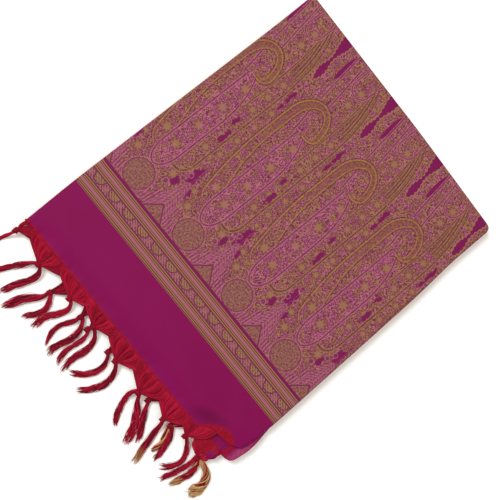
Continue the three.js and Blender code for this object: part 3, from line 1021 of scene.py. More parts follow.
@dataclass(frozen=True)
class Folds:
    """The folded block's sizes, as the CAD source has them."""

    wall: float = 1.0
    gap: float = 0.3
    lip: float = 2.6
    stack_top: float = 14.08
    left: float = -145.0
    right_near: float = 145.6
    right_far: float = 138.4
    far: float = 172.0
    near: float = -171.0
    stack_near: float = -168.5
    sag_from: float = -150.0
    sag_depth: float = 1.8
    rolls: tuple = ((3.0, 0.8, 0.5), (3.0, 0.5, 0.4), (3.1, 0.4, 0.3), (2.4, 0.7, 0.3), (2.58, 1.75, 0.1))
    groove: float = 1.3
    wave_length: float = 61.0
    wave_shift: float = 1.9
    near_fall: float = 0.36
    step_x: float = 63.5
    step_y: float = -93.5
    turned_lift: float = 2.4

    @property
    def panel_top(self) -> float:
        """Height of the top stretch's upper face."""
        return self.stack_top + self.gap + self.wall

    @property
    def step_floor(self) -> float:
        """Height of the step that the turned end lies in."""
        return sum(height for height, _, _ in self.rolls[:3])

    @property
    def turned_top(self) -> float:
        """Height of the turned end's upper face."""
        return self.step_floor + self.gap + self.wall

    def panel_corners(self) -> list[tuple[float, float, float]]:
        """List the top stretch's corners."""
        return [
            (self.left + 1.5, self.near, 2),
            (97, self.near, 4),
            (113, -160.5, 8),
            (133, -158, 7),
            (143.5, -150, 6),
            (self.right_near, -116, 12),
            (141.7, 64, 12),
            (self.right_far, 118, 10),
            (self.right_far, self.far - 3, 7),
            (20, self.far, 20),
            (self.left - 1, self.far, 4),
            (self.left, 130, 20),
            (self.left, -118, 16),
        ]

    def stack_corners(self) -> list[tuple[float, float, float]]:
        """List the hidden layers' corners."""
        near = [
            (self.left + 2.2, self.stack_near, 5),
            (122, self.stack_near, 10),
            (142, -160, 10),
            (147, -140, 10),
        ]
        return near + self.panel_corners()[5:]

    def turned_corners(self) -> list[tuple[float, float, float]]:
        """List the turned end's corners."""
        return [
            (66, -167.5, 4),
            (102, -169, 3),
            (108, -181, 3),
            (132.5, -181, 3),
            (133, -170, 3),
            (146, -168.5, 7),
            (149.5, -146, 9),
            (145.4, -116, 8),
            (142.5, -97, 4),
            (66, -97, 4),
        ]

    def panel_height(self, x: Array, y: Array) -> Array:
        """Height of the top stretch's upper face at each place, without its creases."""
        sag = self.sag_depth * smooth(-y, -self.sag_from, -self.near) * smooth(x, self.left + 2, self.left + 26)
        puffs = ((127, -138, 16, 1.2), (100, -152, 14, -0.9))
        puff = sum(rise * np.exp(-((x - px) ** 2 + (y - py) ** 2) / r**2) for px, py, r, rise in puffs)
        return self.panel_top - sag + puff


def on_chart(plan: Array) -> Array:
    """Turn places in plan into places on the woven chart."""
    return plan - np.array(CHART_SHIFT)


def even_shares(cells: tuple[int, int]) -> tuple[Array, Array]:
    """List a grid's even shares across and along, in the order of its points."""
    a, b = np.meshgrid(np.linspace(0, 1, cells[0] + 1), np.linspace(0, 1, cells[1] + 1))
    return a.ravel(), b.ravel()


def thicken(piece: bpy.types.Object, thickness: float) -> None:
    """Give a sheet its thickness, in millimetres, under the face that shows."""
    shell = piece.modifiers.new("thickness", "SOLIDIFY")
    shell.thickness = thickness * MM
    shell.offset = -1.0


@dataclass
class TopStretch:
    """The stretch of the pallu that shows on top, turned down over the far fold and both side folds."""

    folds: Folds
    cells: tuple[int, int] = (156, 188)
    thickness: float = 0.5
    tail: float = 2.85  # how far the flat cloth reaches past the outline before it is rolled down
    heading_rise: float = 2.2  # how far the red warps reach in from the cut edge
    creases: tuple[Crease, ...] = (
        Crease(-140, -128, -88, -168, 9, 0.42),
        Crease(-96, -122, -60, -164, 12, -0.36),
        Crease(-30, -118, 20, -160, 14, 0.34),
        Crease(44, -116, 84, -164, 12, -0.3),
        Crease(96, -118, 134, -146, 7, 0.7),
        Crease(80, -134, 126, -158, 6, -0.45),
        Crease(-1, -80, 2, 168, 2.6, 0.2),
        Crease(-142, 1.5, 140, -1, 3.0, 0.18),
        Crease(-120, 60, -30, 150, 20, -0.25),
        Crease(30, 40, 126, 132, 22, 0.3),
        Crease(60, -60, 132, -20, 16, -0.25),
        Crease(-128, -70, -60, 10, 18, 0.28),
    )

    def __post_init__(self) -> None:
        """Round the outline, and find where the cloth is cut instead of rolled down."""
        self.outline = Outline(self.folds.panel_corners(), (0, 4, 8, 10))
        self.grown = self.tail * (1 - self.cut(self.outline.points, self.outline.outward))

    def cut(self, edge: Array, outward: Array) -> Array:
        """Work out how much of a cut edge each place on the outline is, from 0 to 1."""
        return smooth(-outward[:, 1], 0.35, 0.8) * smooth(-edge[:, 1], 140, -self.folds.sag_from)

    def plan(self, a: Array, b: Array) -> Array:
        """Spread the flat cloth, its grid crowded towards the edges."""
        return self.outline.patch(graded(a, 0.052, 0.019), graded(b, 0.044, 0.016), self.grown)

    def rim(self, flat: Array) -> tuple[Array, Array, Array, Array]:
        """Compare places with the outline.

        Args:
            flat: Places on the flat cloth.

        Returns:
            The nearest points of the outline, its outward directions, how far inside each place is, and how much
            of a cut edge is near it.
        """
        edge, outward = self.outline.nearest(flat)
        inside = ((edge - flat) * outward).sum(axis=1)
        return edge, outward, inside, self.cut(edge, outward)

    def place(self, a: Array, b: Array) -> Array:
        """Lay the cloth: swells and creases inside, puckers at the cut edge, rolled down at the folds."""
        folds = self.folds
        flat = self.plan(a, b)
        edge, outward, inside, cut = self.rim(flat)
        angle = np.maximum(folds.lip - inside, 0) / folds.lip
        rolled = edge - outward * (folds.lip * (1 - np.sin(angle)))[:, None]
        turned = ((inside < folds.lip) * (1 - cut))[:, None]
        spot = flat * (1 - turned) + rolled * turned
        drop = folds.lip * (1 - np.cos(angle)) * turned[:, 0]
        soft = sum(crease.height(flat[:, 0], flat[:, 1]) for crease in self.creases) * smooth(inside, 0, 9)
        return np.column_stack([spot, folds.panel_height(spot[:, 0], spot[:, 1]) + soft - drop + self.pucker(spot)])

    def pucker(self, spot: Array) -> Array:
        """Lift the cut edge between the knots that gather its warps."""
        x, y = spot.T
        close = np.exp(-(((y - self.folds.near) / 7.0) ** 2)) * smooth(-x, -100, -90)
        return close * (0.35 * np.sin(x * 0.17 + 0.6) + 0.16 * np.sin(x * 0.61) + 0.08 * np.sin(x * 1.9))

    def heading(self, x: Array, y: Array) -> Array:
        """Measure into the red heading: a strip of the cut edge, and a band along the corner that turns up."""
        band = np.where(x > 92, (-149.8 - 0.031 * (x - 124) ** 2 - y) * 0.7, -9.0)
        return np.maximum(band, np.where(x < 97, self.folds.near + self.heading_rise - y, -9.0))

    def make(self, cloth: bpy.types.Material) -> bpy.types.Object:
        """Build the sheet and give it the cloth's thickness."""
        x, y = self.plan(*even_shares(self.cells)).T
        draft = Draft("heading", "sheer")
        draft.surface(
            self.cells, self.place, lambda a, b: on_chart(self.plan(a, b)), heading=self.heading(x, y), sheer=0.0
        )
        made = draft.piece("top_stretch", cloth)
        thicken(made, self.thickness)
        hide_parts("pallu_panel")
        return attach(made, BODY)


@dataclass
class TurnedEnd:
    """The next layer of the fringed end, which turns up beside the top stretch into the right fold."""

    folds: Folds
    cells: tuple[int, int] = (84, 60)
    thickness: float = 0.45
    plain_edge: float = -116.5  # the chart's plain band runs no further than this

    def __post_init__(self) -> None:
        """Round the outline."""
        self.outline = Outline(self.folds.turned_corners(), (0, 5, 8, 9))

    def place(self, a: Array, b: Array) -> Array:
        """Lay the layer, its lobe lifted and its heading rippled."""
        folds = self.folds
        flat = self.outline.patch(a, b)
        edge, outward = self.outline.nearest(flat)
        inside = np.linalg.norm(edge - flat, axis=1)
        rim = smooth(outward[:, 0], 0.3, 0.9) * smooth(-edge[:, 1], 118, 140)
        lift = folds.turned_lift * rim * (smooth(-inside, -7, -1.2) - 0.25 * smooth(-inside, -1.2, 0))
        x, y = flat.T
        ripple = (0.3 * np.sin(x * 0.55) + 0.14 * np.sin(x * 1.3 + y * 0.4)) * smooth(-y, 158, 174)
        pocket = -0.35 * np.exp(-(((x - 124) / 9) ** 2) - ((y + 164) / 6) ** 2)
        return np.column_stack([flat, folds.turned_top - 0.1 + lift + ripple + pocket])

    def heading(self, x: Array, y: Array) -> Array:
        """Measure into the red heading, which curls round the pocket."""
        arm = 2.6 - np.abs(np.hypot(x - 129, y + 163) - 8.0)
        arm = np.where((x > 127) & (y > -174), arm, -6.0)
        return np.maximum(arm, np.minimum(-166.5 - y, 129 + (y + 166) * 0.25 - x))

    def sheer(self, x: Array, y: Array) -> Array:
        """Work out how much painted light shows through the single turned layer."""
        return smooth(x, 138.5, 144) * (0.25 + 0.75 * smooth(-y, 136, 150)) * smooth(-y, 104, 116)

    def make(self, cloth: bpy.types.Material) -> bpy.types.Object:
        """Build the layer, with its red heading and painted light on its sheer turned lobe."""
        x, y = self.outline.patch(*even_shares(self.cells)).T
        draft = Draft("heading", "sheer")
        draft.surface(self.cells, self.place, self.chart, heading=self.heading(x, y), sheer=self.sheer(x, y))
        made = draft.piece("turned_layer", cloth)
        thicken(made, self.thickness)
        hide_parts("turned_end")
        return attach(made, BODY)

    def chart(self, a: Array, b: Array) -> Array:
        """Keep the layer's places on the plain band of the chart."""
        return on_chart(np.minimum(self.outline.patch(a, b), [200.0, self.plain_edge]))


@dataclass
class HiddenLayers:
    """The layers under the top stretch, whose folds show as fine rolls at the sides."""

    folds: Folds
    cells: tuple[int, int] = (112, 132)
    layers: int = 16
    profile: tuple[float, ...] = (0.0, 0.1, 0.32, 0.68, 0.9)
    nip: float = 0.5  # how deep the grooves between two layers go
    stray: float = 0.22  # how far a layer's lip wanders in and out
    crown: float = 14.2
    foot: float = 1.6  # how far the underside stands in from the outline
    shoulder: float = 0.96  # how far in the last row closes over the top
    wall_gap: float = 3.0
    fringed: tuple[float, float] = (6.3, 8.9)  # heights between which the low fringe's heading shows

    def __post_init__(self) -> None:
        """Round the outline and walk it once for the sides' columns."""
        self.outline = Outline(self.folds.stack_corners(), (0, 2, 7, 9))
        across, along = self.cells
        counts = (across, along, across, along)
        walked = [self.outline.side(k, np.linspace(0, 1, count + 1)[:-1]) for k, count in enumerate(counts)]
        self.places = np.concatenate([*walked, self.outline.side(3, np.ones(1))])
        self.outward = self.outline.nearest(self.places)[1]
        self.columns = 2 * sum(self.cells)
        self.rows = self.layers * len(self.profile) + 1

    def indices(self, a: Array, b: Array) -> tuple[Array, Array, Array, Array]:
        """Find the columns, rows, layers and shares up those layers of the sides' points."""
        column = np.rint(a * self.columns).astype(int)
        row = np.rint(b * self.rows).astype(int)
        layer = np.minimum(row // len(self.profile), self.layers - 1)
        share = np.where(row >= self.rows - 1, 1.0, np.array(self.profile)[row % len(self.profile)])
        return column, row, layer, share

    def inset(self, z: Array, places: Array, layer: Array, share: Array) -> Array:
        """Work out how far inside the outline the sides stand.

        Args:
            z: Heights.
            places: Places round the outline.
            layer: Each height's layer.
            share: How far up its layer each height is.

        Returns:
            The insets.
        """
        folds = self.folds
        floors = np.cumsum([0] + [height for height, _, _ in folds.rolls])
        roll = np.clip(np.searchsorted(floors, z, side="right") - 1, 0, len(folds.rolls) - 1)
        height, out, wave = np.array(folds.rolls)[roll].T
        up = np.clip((z - floors[roll]) / height, 0, 1)
        groove = folds.groove * 0.7 * np.clip(1 - np.minimum(up, 1 - up) / 0.28, 0, 1) ** 1.4
        phase = (places[:, 0] * 0.8 + places[:, 1] * 1.1) / folds.wave_length + roll * folds.wave_shift
        swell = wave * (1 + np.sin(phase * np.pi)) * 0.5
        nip = self.nip * (1 - np.sin(np.pi * np.clip(share, 0, 1)) ** 0.7)
        sway = places[:, 0] * 0.031 + places[:, 1] * 0.043
        wander = np.sin(sway + layer * 2.3) + 0.6 * np.sin(2.7 * sway + layer * 4.1)
        wander = wander + 0.3 * np.sin(7.1 * sway + layer)
        return out + groove + swell + nip + self.stray * (wander - 0.4)

    def sides(self, a: Array, b: Array) -> Array:
        """Place the sides' points.

        Args:
            a: Share round the outline.
            b: Share up the side.

        Returns:
            Their places.
        """
        folds = self.folds
        column, row, layer, share = self.indices(a, b)
        spot, out = self.places[column], self.outward[column]
        z = (layer + share) * self.crown / self.layers
        placed = spot - out * self.inset(z, spot, layer, share)[:, None]
        placed = np.where((row == 0)[:, None], spot - out * self.foot, placed)
        near = smooth(-spot[:, 1], -folds.sag_from, -folds.stack_near)
        z = z - near * folds.near_fall * np.maximum(0, z - folds.step_floor)
        over = self.in_step(spot) & (z > folds.step_floor)
        first = over & (z - folds.step_floor < 2.0 * self.crown / self.layers / len(self.profile))
        placed = np.where(over[:, None], self.step_wall()[column], placed)
        placed = np.where((row == self.rows)[:, None], placed * self.shoulder, placed)
        return np.column_stack([placed, np.where(first, folds.step_floor, z)])

    def in_step(self, places: Array) -> Array:
        """Tell which places lie in the step that the turned end fills."""
        return (places[:, 0] > self.folds.step_x) & (places[:, 1] < self.folds.step_y)

    def step_wall(self) -> Array:
        """Find each column's place on the step's wall, or on the outline outside the step."""
        found = self.places.copy()
        inside = self.in_step(self.places)
        run = self.places[inside]
        share = np.linspace(0, 1, len(run))[:, None]
        corner = np.array([self.folds.step_x, self.folds.step_y])
        first = np.array([self.folds.step_x, run[0][1] + self.wall_gap])
        last = np.array([run[-1][0] - self.wall_gap, self.folds.step_y])
        up = first + (corner - first) * np.minimum(share * 2, 1)
        found[inside] = np.where(share < 0.5, up, corner + (last - corner) * (share * 2 - 1))
        return found

    def side_chart(self, a: Array, b: Array) -> Array:
        """Place the sides on the chart: each layer shows another stretch of the cloth."""
        column, row, layer, _ = self.indices(a, b)
        flat = on_chart(self.places[column])
        body = np.column_stack([flat[:, 0] + row * 0.6, flat[:, 1] + 135 + 37 * layer + row * 0.25])
        return np.where((layer >= self.layers - 2)[:, None], flat, body)

    def underside(self, a: Array, b: Array) -> Array:
        """Place the flat underside's points, inside the outline as the lowest row of the sides is."""
        flat = self.outline.patch(a, b)
        outward = self.outline.nearest(flat)[1]
        rim = (np.minimum(np.minimum(a, 1 - a), np.minimum(b, 1 - b)) < 1e-6)[:, None]
        return np.column_stack([np.where(rim, flat - outward * self.foot, flat * 0.985), np.zeros(len(flat))])

    def under_chart(self, a: Array, b: Array) -> Array:
        """Place the underside on the chart, well into the field."""
        return on_chart(self.outline.patch(a, b)) + np.array([0.0, 190.0])

    def make(self, cloth: bpy.types.Material) -> bpy.types.Object:
        """Build the layers: a flat underside, sides of fine rolls and a closed top."""
        shares = even_shares((self.columns, self.rows))
        spots = self.sides(*shares)
        low, high = self.fringed
        heading = np.minimum(spots[:, 2] - low, high - spots[:, 2]) * 3.0 * smooth(-spots[:, 1], 160, 166)
        draft = Draft("heading", "sheer")
        draft.surface((self.columns, self.rows), self.sides, self.side_chart, heading=heading, sheer=0.0)
        draft.surface(self.cells, self.underside, self.under_chart, heading=0.0, sheer=0.0)
        draft.merge()
        rim = [edge for edge in draft.bm.edges if edge.is_boundary]
        bmesh.ops.holes_fill(draft.bm, edges=rim, sides=0)
        made = draft.piece("hidden_layers", cloth)
        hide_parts("fold_stack")
        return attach(made, BODY)


# The fringe


class Layer(Enum):
    """Which cloth edge a head's warps leave."""

    TOP = "top"
    TURNED = "turned"
    LOW = "low"


@dataclass(frozen=True)
class Head:
    """Warps gathered from the cloth's edge into a knot, as the CAD source has them."""

    name: str
    x0: float
    x1: float
    knot: tuple[float, float, float]
    layer: Layer = Layer.TOP
    gold: float = 0.0
    reach: tuple[float, float] = (4.0, 4.0)  # how far its warps cross their neighbours' on each side
    under: tuple[float, float] = (9.0, 9.0)  # and those of the layer below, gathered with them


@dataclass(frozen=True)
class Strand:
    """A lock of yarns that leaves a knot, as the CAD source has it."""

    of: str
    x: float
    y: float
    turn: tuple[float, float, float, float]
    long: float
    wide: float
    tip: float
    gold: float = 0.0
    gold_tip: float = 0.0
    loose: float = 0.25  # how far its yarns part towards the tip


HEADS = (
    Head("tassel_1", -143, -127, (-142, -182, 8), reach=(0.0, 3.0), under=(0.0, 12.0)),
    Head("tassel_2", -127, -88, (-105.5, -186, 8.5)),
    Head("tassel_3", -88, -50, (-64, -184, 9)),
    Head("tassel_4", -50, -13, (-31, -184, 9.5)),
    Head("tassel_5", -13, 24, (6.5, -188, 8.5)),
    Head("tassel_6", 24, 59, (42, -190, 8.5)),
    Head("tassel_7", 59, 88, (75.5, -188, 9)),
    Head("tassel_8", 88, 97, (100, -182, 12), reach=(3.0, 20.0), under=(4.0, 14.0)),
    Head("low_tassel_1", -86, -60, (-79.5, -194.5, 3.5), Layer.LOW, reach=(0.0, 6.0)),
    Head("low_tassel_2", -58, -40, (-44.5, -187, 4), Layer.LOW, reach=(0.0, 5.0)),
    Head("low_tassel_3", -37, -21, (-32, -189.5, 3.5), Layer.LOW, reach=(0.0, 6.0)),
    Head("low_tassel_4", -16, 6, (-4, -188, 4), Layer.LOW, reach=(0.0, 8.0)),
    Head("low_tassel_5", 44, 66, (54, -188, 4), Layer.LOW, reach=(0.0, 6.0)),
    Head("low_tassel_6", 76, 98, (85.5, -187, 4), Layer.LOW, 0.05, reach=(0.0, 6.0)),
    Head("low_tassel_7", 109, 131, (124, -187, 6.5), Layer.TURNED, reach=(0.5, 0.5)),
)

STRANDS = (
    Strand("tassel_1", -142, -183, (4, -15, 7, -36), 46, 3, 2),
    Strand("tassel_2", -107, -188, (-44, -28, -24, -7), 49, 4.5, 4),
    Strand("tassel_2", -104, -188, (70, -12, -19, -11), 48, 5.5, 5),
    Strand("tassel_3", -64, -186, (96, -18, -15, 21), 50, 5, 5.5),
    Strand("tassel_4", -30, -186, (85, 10, -4, 41), 55, 5, 5),
    Strand("tassel_5", 7, -190, (59, 11, -26, -27), 52, 5, 4.5),
    Strand("tassel_6", 40, -192, (-44, 20, 28, 80), 42, 4.5, 3.5),
    Strand("tassel_6", 44, -192, (27, 48, 28, 27), 50, 6.5, 6),
    Strand("tassel_7", 76, -190, (28, 14, 17, 19), 50, 5, 5, 0.0, 0.8),
    Strand("tassel_8", 101, -183, (53, 39, -19, -41), 49, 4, 5),
    Strand("low_tassel_1", -81, -197, (29, -36, -18, -39), 46, 7, 5),
    Strand("low_tassel_1", -78, -196, (34, 18, -25, 4), 38, 4.5, 4.5),
    Strand("low_tassel_2", -46, -189, (33, -25, 15, 15), 45, 4, 2),
    Strand("low_tassel_2", -43, -188, (58, 6, -12, 35), 50, 5, 5.5),
    Strand("low_tassel_3", -32, -191, (64, -8, 6, 32), 46, 4, 4),
    Strand("low_tassel_4", -4, -190, (56, 3, -38, -44), 49, 4.5, 5.5),
    Strand("low_tassel_5", 55, -190, (29, 36, 40, 29), 41, 5, 4),
    Strand("low_tassel_6", 84, -189, (20, 31, 1, -1), 32, 4, 4, 0.6),
    Strand("low_tassel_6", 87, -188, (46, 28, 12, 10), 37, 4.5, 4),
    Strand("low_tassel_7", 122, -188, (21, -4, -18, -8), 42, 4, 4),
    Strand("low_tassel_7", 124, -188, (50, 13, -16, 5), 40, 5.5, 4, 0.3, 0.7),
    Strand("low_tassel_7", 127, -187, (72, 58, -4, -2), 45, 6.5, 5, 0.7, 0.9, 1.1),
)


@dataclass(frozen=True)
class Web:
    """A spread of warps between the cloth's edge and a knot."""

    x0: float
    x1: float
    root: Callable[[Array], Array]  # gives y and z of the cloth's edge at each x
    # painted shade: how much darker its warps are coloured, as they lie under other warps
    painted_shade: float
    depth: float
    pitch: float = 0.55
    clump: float = 5.0
    pull: float = 0.36  # how much of the way a warp may lean to its clump
    narrowing: tuple[float, ...] = (1.0, 0.985, 0.84, 0.44, 0.16, 0.08)  # its widths, down to the knot


@dataclass
class Tassel:
    """One head of the fringe: fanned warps, a knot bound with yarn, and the strands that leave it."""

    folds: Folds
    head: Head
    strands: Sequence[Strand]
    rng: np.random.Generator
    warp_radius: float = 0.42
    tuck: float = 0.9  # how far the warps run into the cloth's edge
    knot_long: float = 5.0
    knot_wide: float = 5.2
    knot_thick: float = 4.2
    drop: float = 17.0
    low_narrowing: tuple[float, ...] = (1.0, 0.7, 0.42, 0.26, 0.15, 0.08)
    clear: float = 0.45
    flatness: float = 0.6
    fullness: float = 1.2  # how much wider than its solid a strand's loose yarns lie
    draft: Draft = field(default_factory=lambda: Draft("tone", "gold"))

    def top_edge(self, x: Array) -> Array:
        """Follow the top stretch's edge, which turns back at the right corner."""
        turned = -171.0 + np.clip(x - 97, 0, 16) * 0.656 + np.clip(x - 113, 0, 30) * 0.125
        y = np.where(x > 97, turned, self.folds.near) - self.folds.gap
        return np.column_stack([y, self.folds.panel_height(x, y) - 0.45])

    def low_edge(self, x: Array) -> Array:
        """Follow the next layer's edge, under the top stretch."""
        turned = np.array([-168.9, self.folds.turned_top - 0.6])
        return np.where((x > self.folds.step_x + 3)[:, None], turned, self.lowest_edge(x))

    def turned_edge(self, x: Array) -> Array:
        """Follow the turned end's edge."""
        return np.broadcast_to(np.array([-181 - self.folds.gap, self.folds.turned_top - 0.6]), (len(x), 2))

    def lowest_edge(self, x: Array) -> Array:
        """Follow the layer whose fringe shows between the top tassels."""
        y = self.folds.stack_near + self.folds.rolls[2][1] - self.folds.gap
        return np.broadcast_to(np.array([y, 7.4]), (len(x), 2))

    def webs(self) -> list[Web]:
        """List the spreads of warps that the knot gathers."""
        head = self.head
        left, right = head.x0 - head.reach[0], head.x1 + head.reach[1]
        # Each web's fourth number is its painted shade, darker where it lies under others.
        if head.layer is Layer.TURNED:
            return [Web(left, right, self.turned_edge, 0.0, 0.5), Web(left, right, self.turned_edge, 0.2, -0.3)]
        if head.layer is Layer.LOW:
            part = Web(left, right, self.lowest_edge, 0.3, 0.4, narrowing=self.low_narrowing)
            return [part, replace(part, painted_shade=0.4, depth=-0.4)]
        below = Web(head.x0 - head.under[0], head.x1 + head.under[1], self.low_edge, 0.4, -0.5, pull=0.15)
        return [Web(left, right, self.top_edge, 0.0, 0.5), Web(left, right, self.top_edge, 0.15, -0.3), below]

    def yarn(self, path: Array, radii: Array, tone: float, gold: Array | float, sides: int = 5) -> None:
        """Lay one yarn along a path.

        Args:
            path: The points that it follows.
            radii: Its radius at each.
            tone: How bright it is, from 0 to 1, its painted shade included.
            gold: How golden it is, once or at each point.
            sides: How many sides it has.
        """
        steps = len(path) - 1
        run = np.gradient(path, axis=0)
        run /= np.linalg.norm(run, axis=1)[:, None]
        side = np.cross(run, [0.0, 0.0, 1.0])
        side /= np.maximum(np.linalg.norm(side, axis=1), 1e-6)[:, None]
        up = np.cross(side, run)
        walked = np.concatenate([[0], np.cumsum(np.linalg.norm(np.diff(path, axis=0), axis=1))])

        def place(a: Array, b: Array) -> Array:
            """Stand each point on the yarn's round."""
            at = np.rint(b * steps).astype(int)
            turn = -2 * np.pi * a
            ring = side[at] * np.cos(turn)[:, None] + up[at] * np.sin(turn)[:, None]
            return path[at] + ring * radii[at][:, None]

        def chart(a: Array, b: Array) -> Array:
            """Unroll the yarn."""
            return np.column_stack([a, walked[np.rint(b * steps).astype(int)]])

        shares = np.repeat(np.arange(steps + 1), sides + 1)
        golds = np.broadcast_to(gold, steps + 1)[shares]
        self.draft.surface((sides, steps), place, chart, closed=True, tone=tone, gold=golds)

    def fan(self, web: Web) -> None:
        """Fan a spread of warps out between the cloth's edge and the knot, in uneven clumps."""
        rng, knot = self.rng, np.array(self.head.knot)
        low, high = max(web.x0, -143.2) + 0.2, web.x1 - 0.2
        middle = (low + high) / 2
        count = max(8, round((high - low) / web.pitch))
        clumps = max(2, round((high - low) / web.clump))
        centres = low + (high - low) * (np.arange(clumps) + 0.5 + rng.uniform(-0.42, 0.42, clumps)) / clumps
        tones, lifts, pulls = rng.random(clumps), rng.normal(0, 0.45, clumps), rng.uniform(0.05, web.pull, clumps)
        room = min(1.0, abs(knot[1] - web.root(np.array([middle]))[0][0]) / 12)
        t = np.linspace(0, 1.06, 11)
        hang = np.sin(np.pi * np.minimum(t, 1))
        narrow = np.interp(t, [0, 0.3, 0.55, 0.8, 0.93, 1.06], web.narrowing)
        pinch = 1 - 0.36 * smooth(t, 0.55, 1.0)
        for k in range(count):
            x = low + (high - low) * (k + 0.5 + rng.uniform(-0.3, 0.3)) / count
            which = int(np.abs(centres - x).argmin())
            pulled = x + (centres[which] - x) * pulls[which] * hang + rng.normal(0, 0.35) * hang
            line = middle + (knot[0] - middle) * np.minimum(t, 1) ** 2 + (pulled - middle) * narrow
            y0, z0 = web.root(np.array([x]))[0]
            start = y0 + self.tuck
            y = start + (knot[1] - 1.5 - start) * t + rng.normal(0, 0.1)
            round_clump = np.cos((x - centres[which]) / web.clump * np.pi)
            depth = web.depth * (1 - smooth(t, 0.5, 1)) + (lifts[which] + 0.6 * round_clump - 0.3) * hang * room
            z = z0 + (knot[2] - z0) * t + depth + rng.normal(0, 0.7) * smooth(t, 0.65, 1)
            # Painted shade: the tone drops by the web's painted shade.
            tone = np.clip(0.3 + 0.4 * tones[which] + 0.4 * rng.random() - web.painted_shade, 0, 1)
            golden = float(rng.random() < self.head.gold)
            self.yarn(np.column_stack([line, y, z]), self.warp_radius * pinch, tone, golden)

    def knot(self) -> None:
        """Tie the knot: a plump core with turns of yarn bound aslant round it."""
        x, y, z = self.head.knot
        half, thick, long = self.knot_wide / 2, self.knot_thick / 2, self.knot_long

        def place(a: Array, b: Array) -> Array:
            """Stand each point on the plump core."""
            turn = -2 * np.pi * a
            swell = np.interp(b, [0, 0.2, 0.5, 0.8, 1], [0.6, 0.92, 1.0, 0.86, 0.5])
            ribs = 1 + 0.06 * np.cos(7 * turn + 9 * b)
            u, v = np.cos(turn) * half * swell * ribs, np.sin(turn) * thick * swell * ribs
            return np.column_stack([x + u, y + 0.8 - b * (long + 0.8), z + v])

        self.draft.surface((22, 14), place, lambda a, b: np.column_stack([a * 8, b * long]), True, tone=0.2, gold=0.0)
        around = np.linspace(0, 2 * np.pi, 19)
        for k, back in enumerate((0.9, 1.9, 2.9, 3.8)):
            slant = 0.9 if k % 2 else -0.7
            swell = float(np.interp(back / long, [0, 0.3, 0.5, 0.8, 1], [0.86, 1.0, 1.04, 0.94, 0.7]))
            across, aslant = x + np.cos(around) * half * swell, y - back + slant * np.cos(around + 0.6)
            loop = np.column_stack([across, aslant, z + np.sin(around) * thick * swell])
            self.yarn(loop, np.full(len(loop), 0.48), 0.3 + 0.4 * self.rng.random(), 0.0)

    def centre_line(self, strand: Strand, stations: int) -> tuple[Array, Array, Array]:
        """Walk a strand's middle.

        Args:
            strand: The strand.
            stations: How many points to give.

        Returns:
            The points, the strand's direction across at each, and its width at each.
        """
        fine = np.linspace(0, 1, 8 * (stations - 1) + 1)
        between = self.heading(strand, (fine[1:] + fine[:-1]) / 2)
        step = strand.long / (len(fine) - 1)
        x = strand.x + np.concatenate([[0], np.cumsum(np.sin(between) * step)])
        y = strand.y - np.concatenate([[0], np.cumsum(np.cos(between) * step)])
        t = fine[::8]
        width = 3 + (strand.wide - 3) * smooth(t, 0, 0.35)
        width = width + (strand.tip - width) * smooth(t, 0.6, 1)
        knot_z = self.head.knot[2]
        rest = self.clear + self.flatness * width / 2
        z = knot_z + (rest - knot_z) * smooth(t * strand.long, 0, self.drop)
        turn = self.heading(strand, t)
        return np.column_stack([x[::8], y[::8], z]), np.column_stack([np.cos(turn), np.sin(turn), 0 * t]), width

    def heading(self, strand: Strand, t: Array) -> Array:
        """Work out a strand's heading along its length, in radians from -Y towards +X."""
        nodes = np.arange(4) / 3
        total = np.zeros_like(t)
        for i, value in enumerate(strand.turn):
            others = [j for j in range(4) if j != i]
            shares = [(t - nodes[j]) / (nodes[i] - nodes[j]) for j in others]
            total += math.radians(value) * np.prod(shares, axis=0)
        return total

    def strand(self, strand: Strand, stations: int = 30) -> None:
        """Lay a strand's yarns beside each other, gently twisted and frayed at the tip."""
        rng = self.rng
        middle, across, width = self.centre_line(strand, stations)
        t = np.linspace(0, 1, stations)
        width = width * self.fullness
        count = 6 + round(strand.wide * 2.5)
        rate = rng.uniform(0.5, 1.1) * rng.choice([-1, 1])
        for k in range(count):
            spread = math.sqrt((k + 0.5) / count)
            turn = k * 2.39996 + rate * 2 * np.pi * t + 0.35 * np.sin(7 * t + k)
            parted = 1 + strand.loose * smooth(t, 0.35, 1) + 0.1 * np.sin(9 * t + 1.7 * k)
            u = spread * np.cos(turn) * (width / 2 - 0.3) * parted
            v = spread * np.sin(turn) * (width / self.fullness * self.flatness / 2 - 0.35)
            path = middle + across * u[:, None]
            path[:, 2] = np.maximum(middle[:, 2] + v, 0.5)
            last = rng.uniform(0.84, 1.0)
            path = np.column_stack([np.interp(t * last, t, path[:, i]) for i in range(3)])
            radii = 0.5 * (1 + 0.12 * np.sin(11 * t + k)) * (1 - 0.75 * smooth(t, 0.88, 1.0))
            golden = 1.0 if rng.random() < strand.gold else 0.0
            tip = smooth(t, 0.68, 0.86) * strand.gold_tip
            self.yarn(path, radii, rng.random(), np.clip(golden + tip * rng.uniform(0.6, 1.1), 0, 1))
        self.strays(middle, across, width, strand)

    def strays(self, middle: Array, across: Array, width: Array, strand: Strand) -> None:
        """Let a few fine fibres stand off a strand.

        Args:
            middle: The strand's middle points.
            across: Its direction across at each.
            width: Its width at each.
            strand: The strand.
        """
        rng = self.rng
        for _ in range(6):
            start = rng.integers(2, len(middle) - 12)
            part = slice(start, start + rng.integers(8, 12))
            bow = np.sin(np.linspace(0, np.pi * rng.uniform(0.6, 1.0), len(middle[part])))
            off = rng.choice([-1, 1]) * (width[part] / 2 - 0.3 + bow * rng.uniform(0.3, 1.2))
            path = middle[part] + across[part] * off[:, None]
            path[:, 2] = np.maximum(path[:, 2] + rng.uniform(-0.3, 0.8), 0.3)
            self.yarn(path, np.full(len(path), 0.13), rng.random(), float(rng.random() < strand.gold), sides=4)

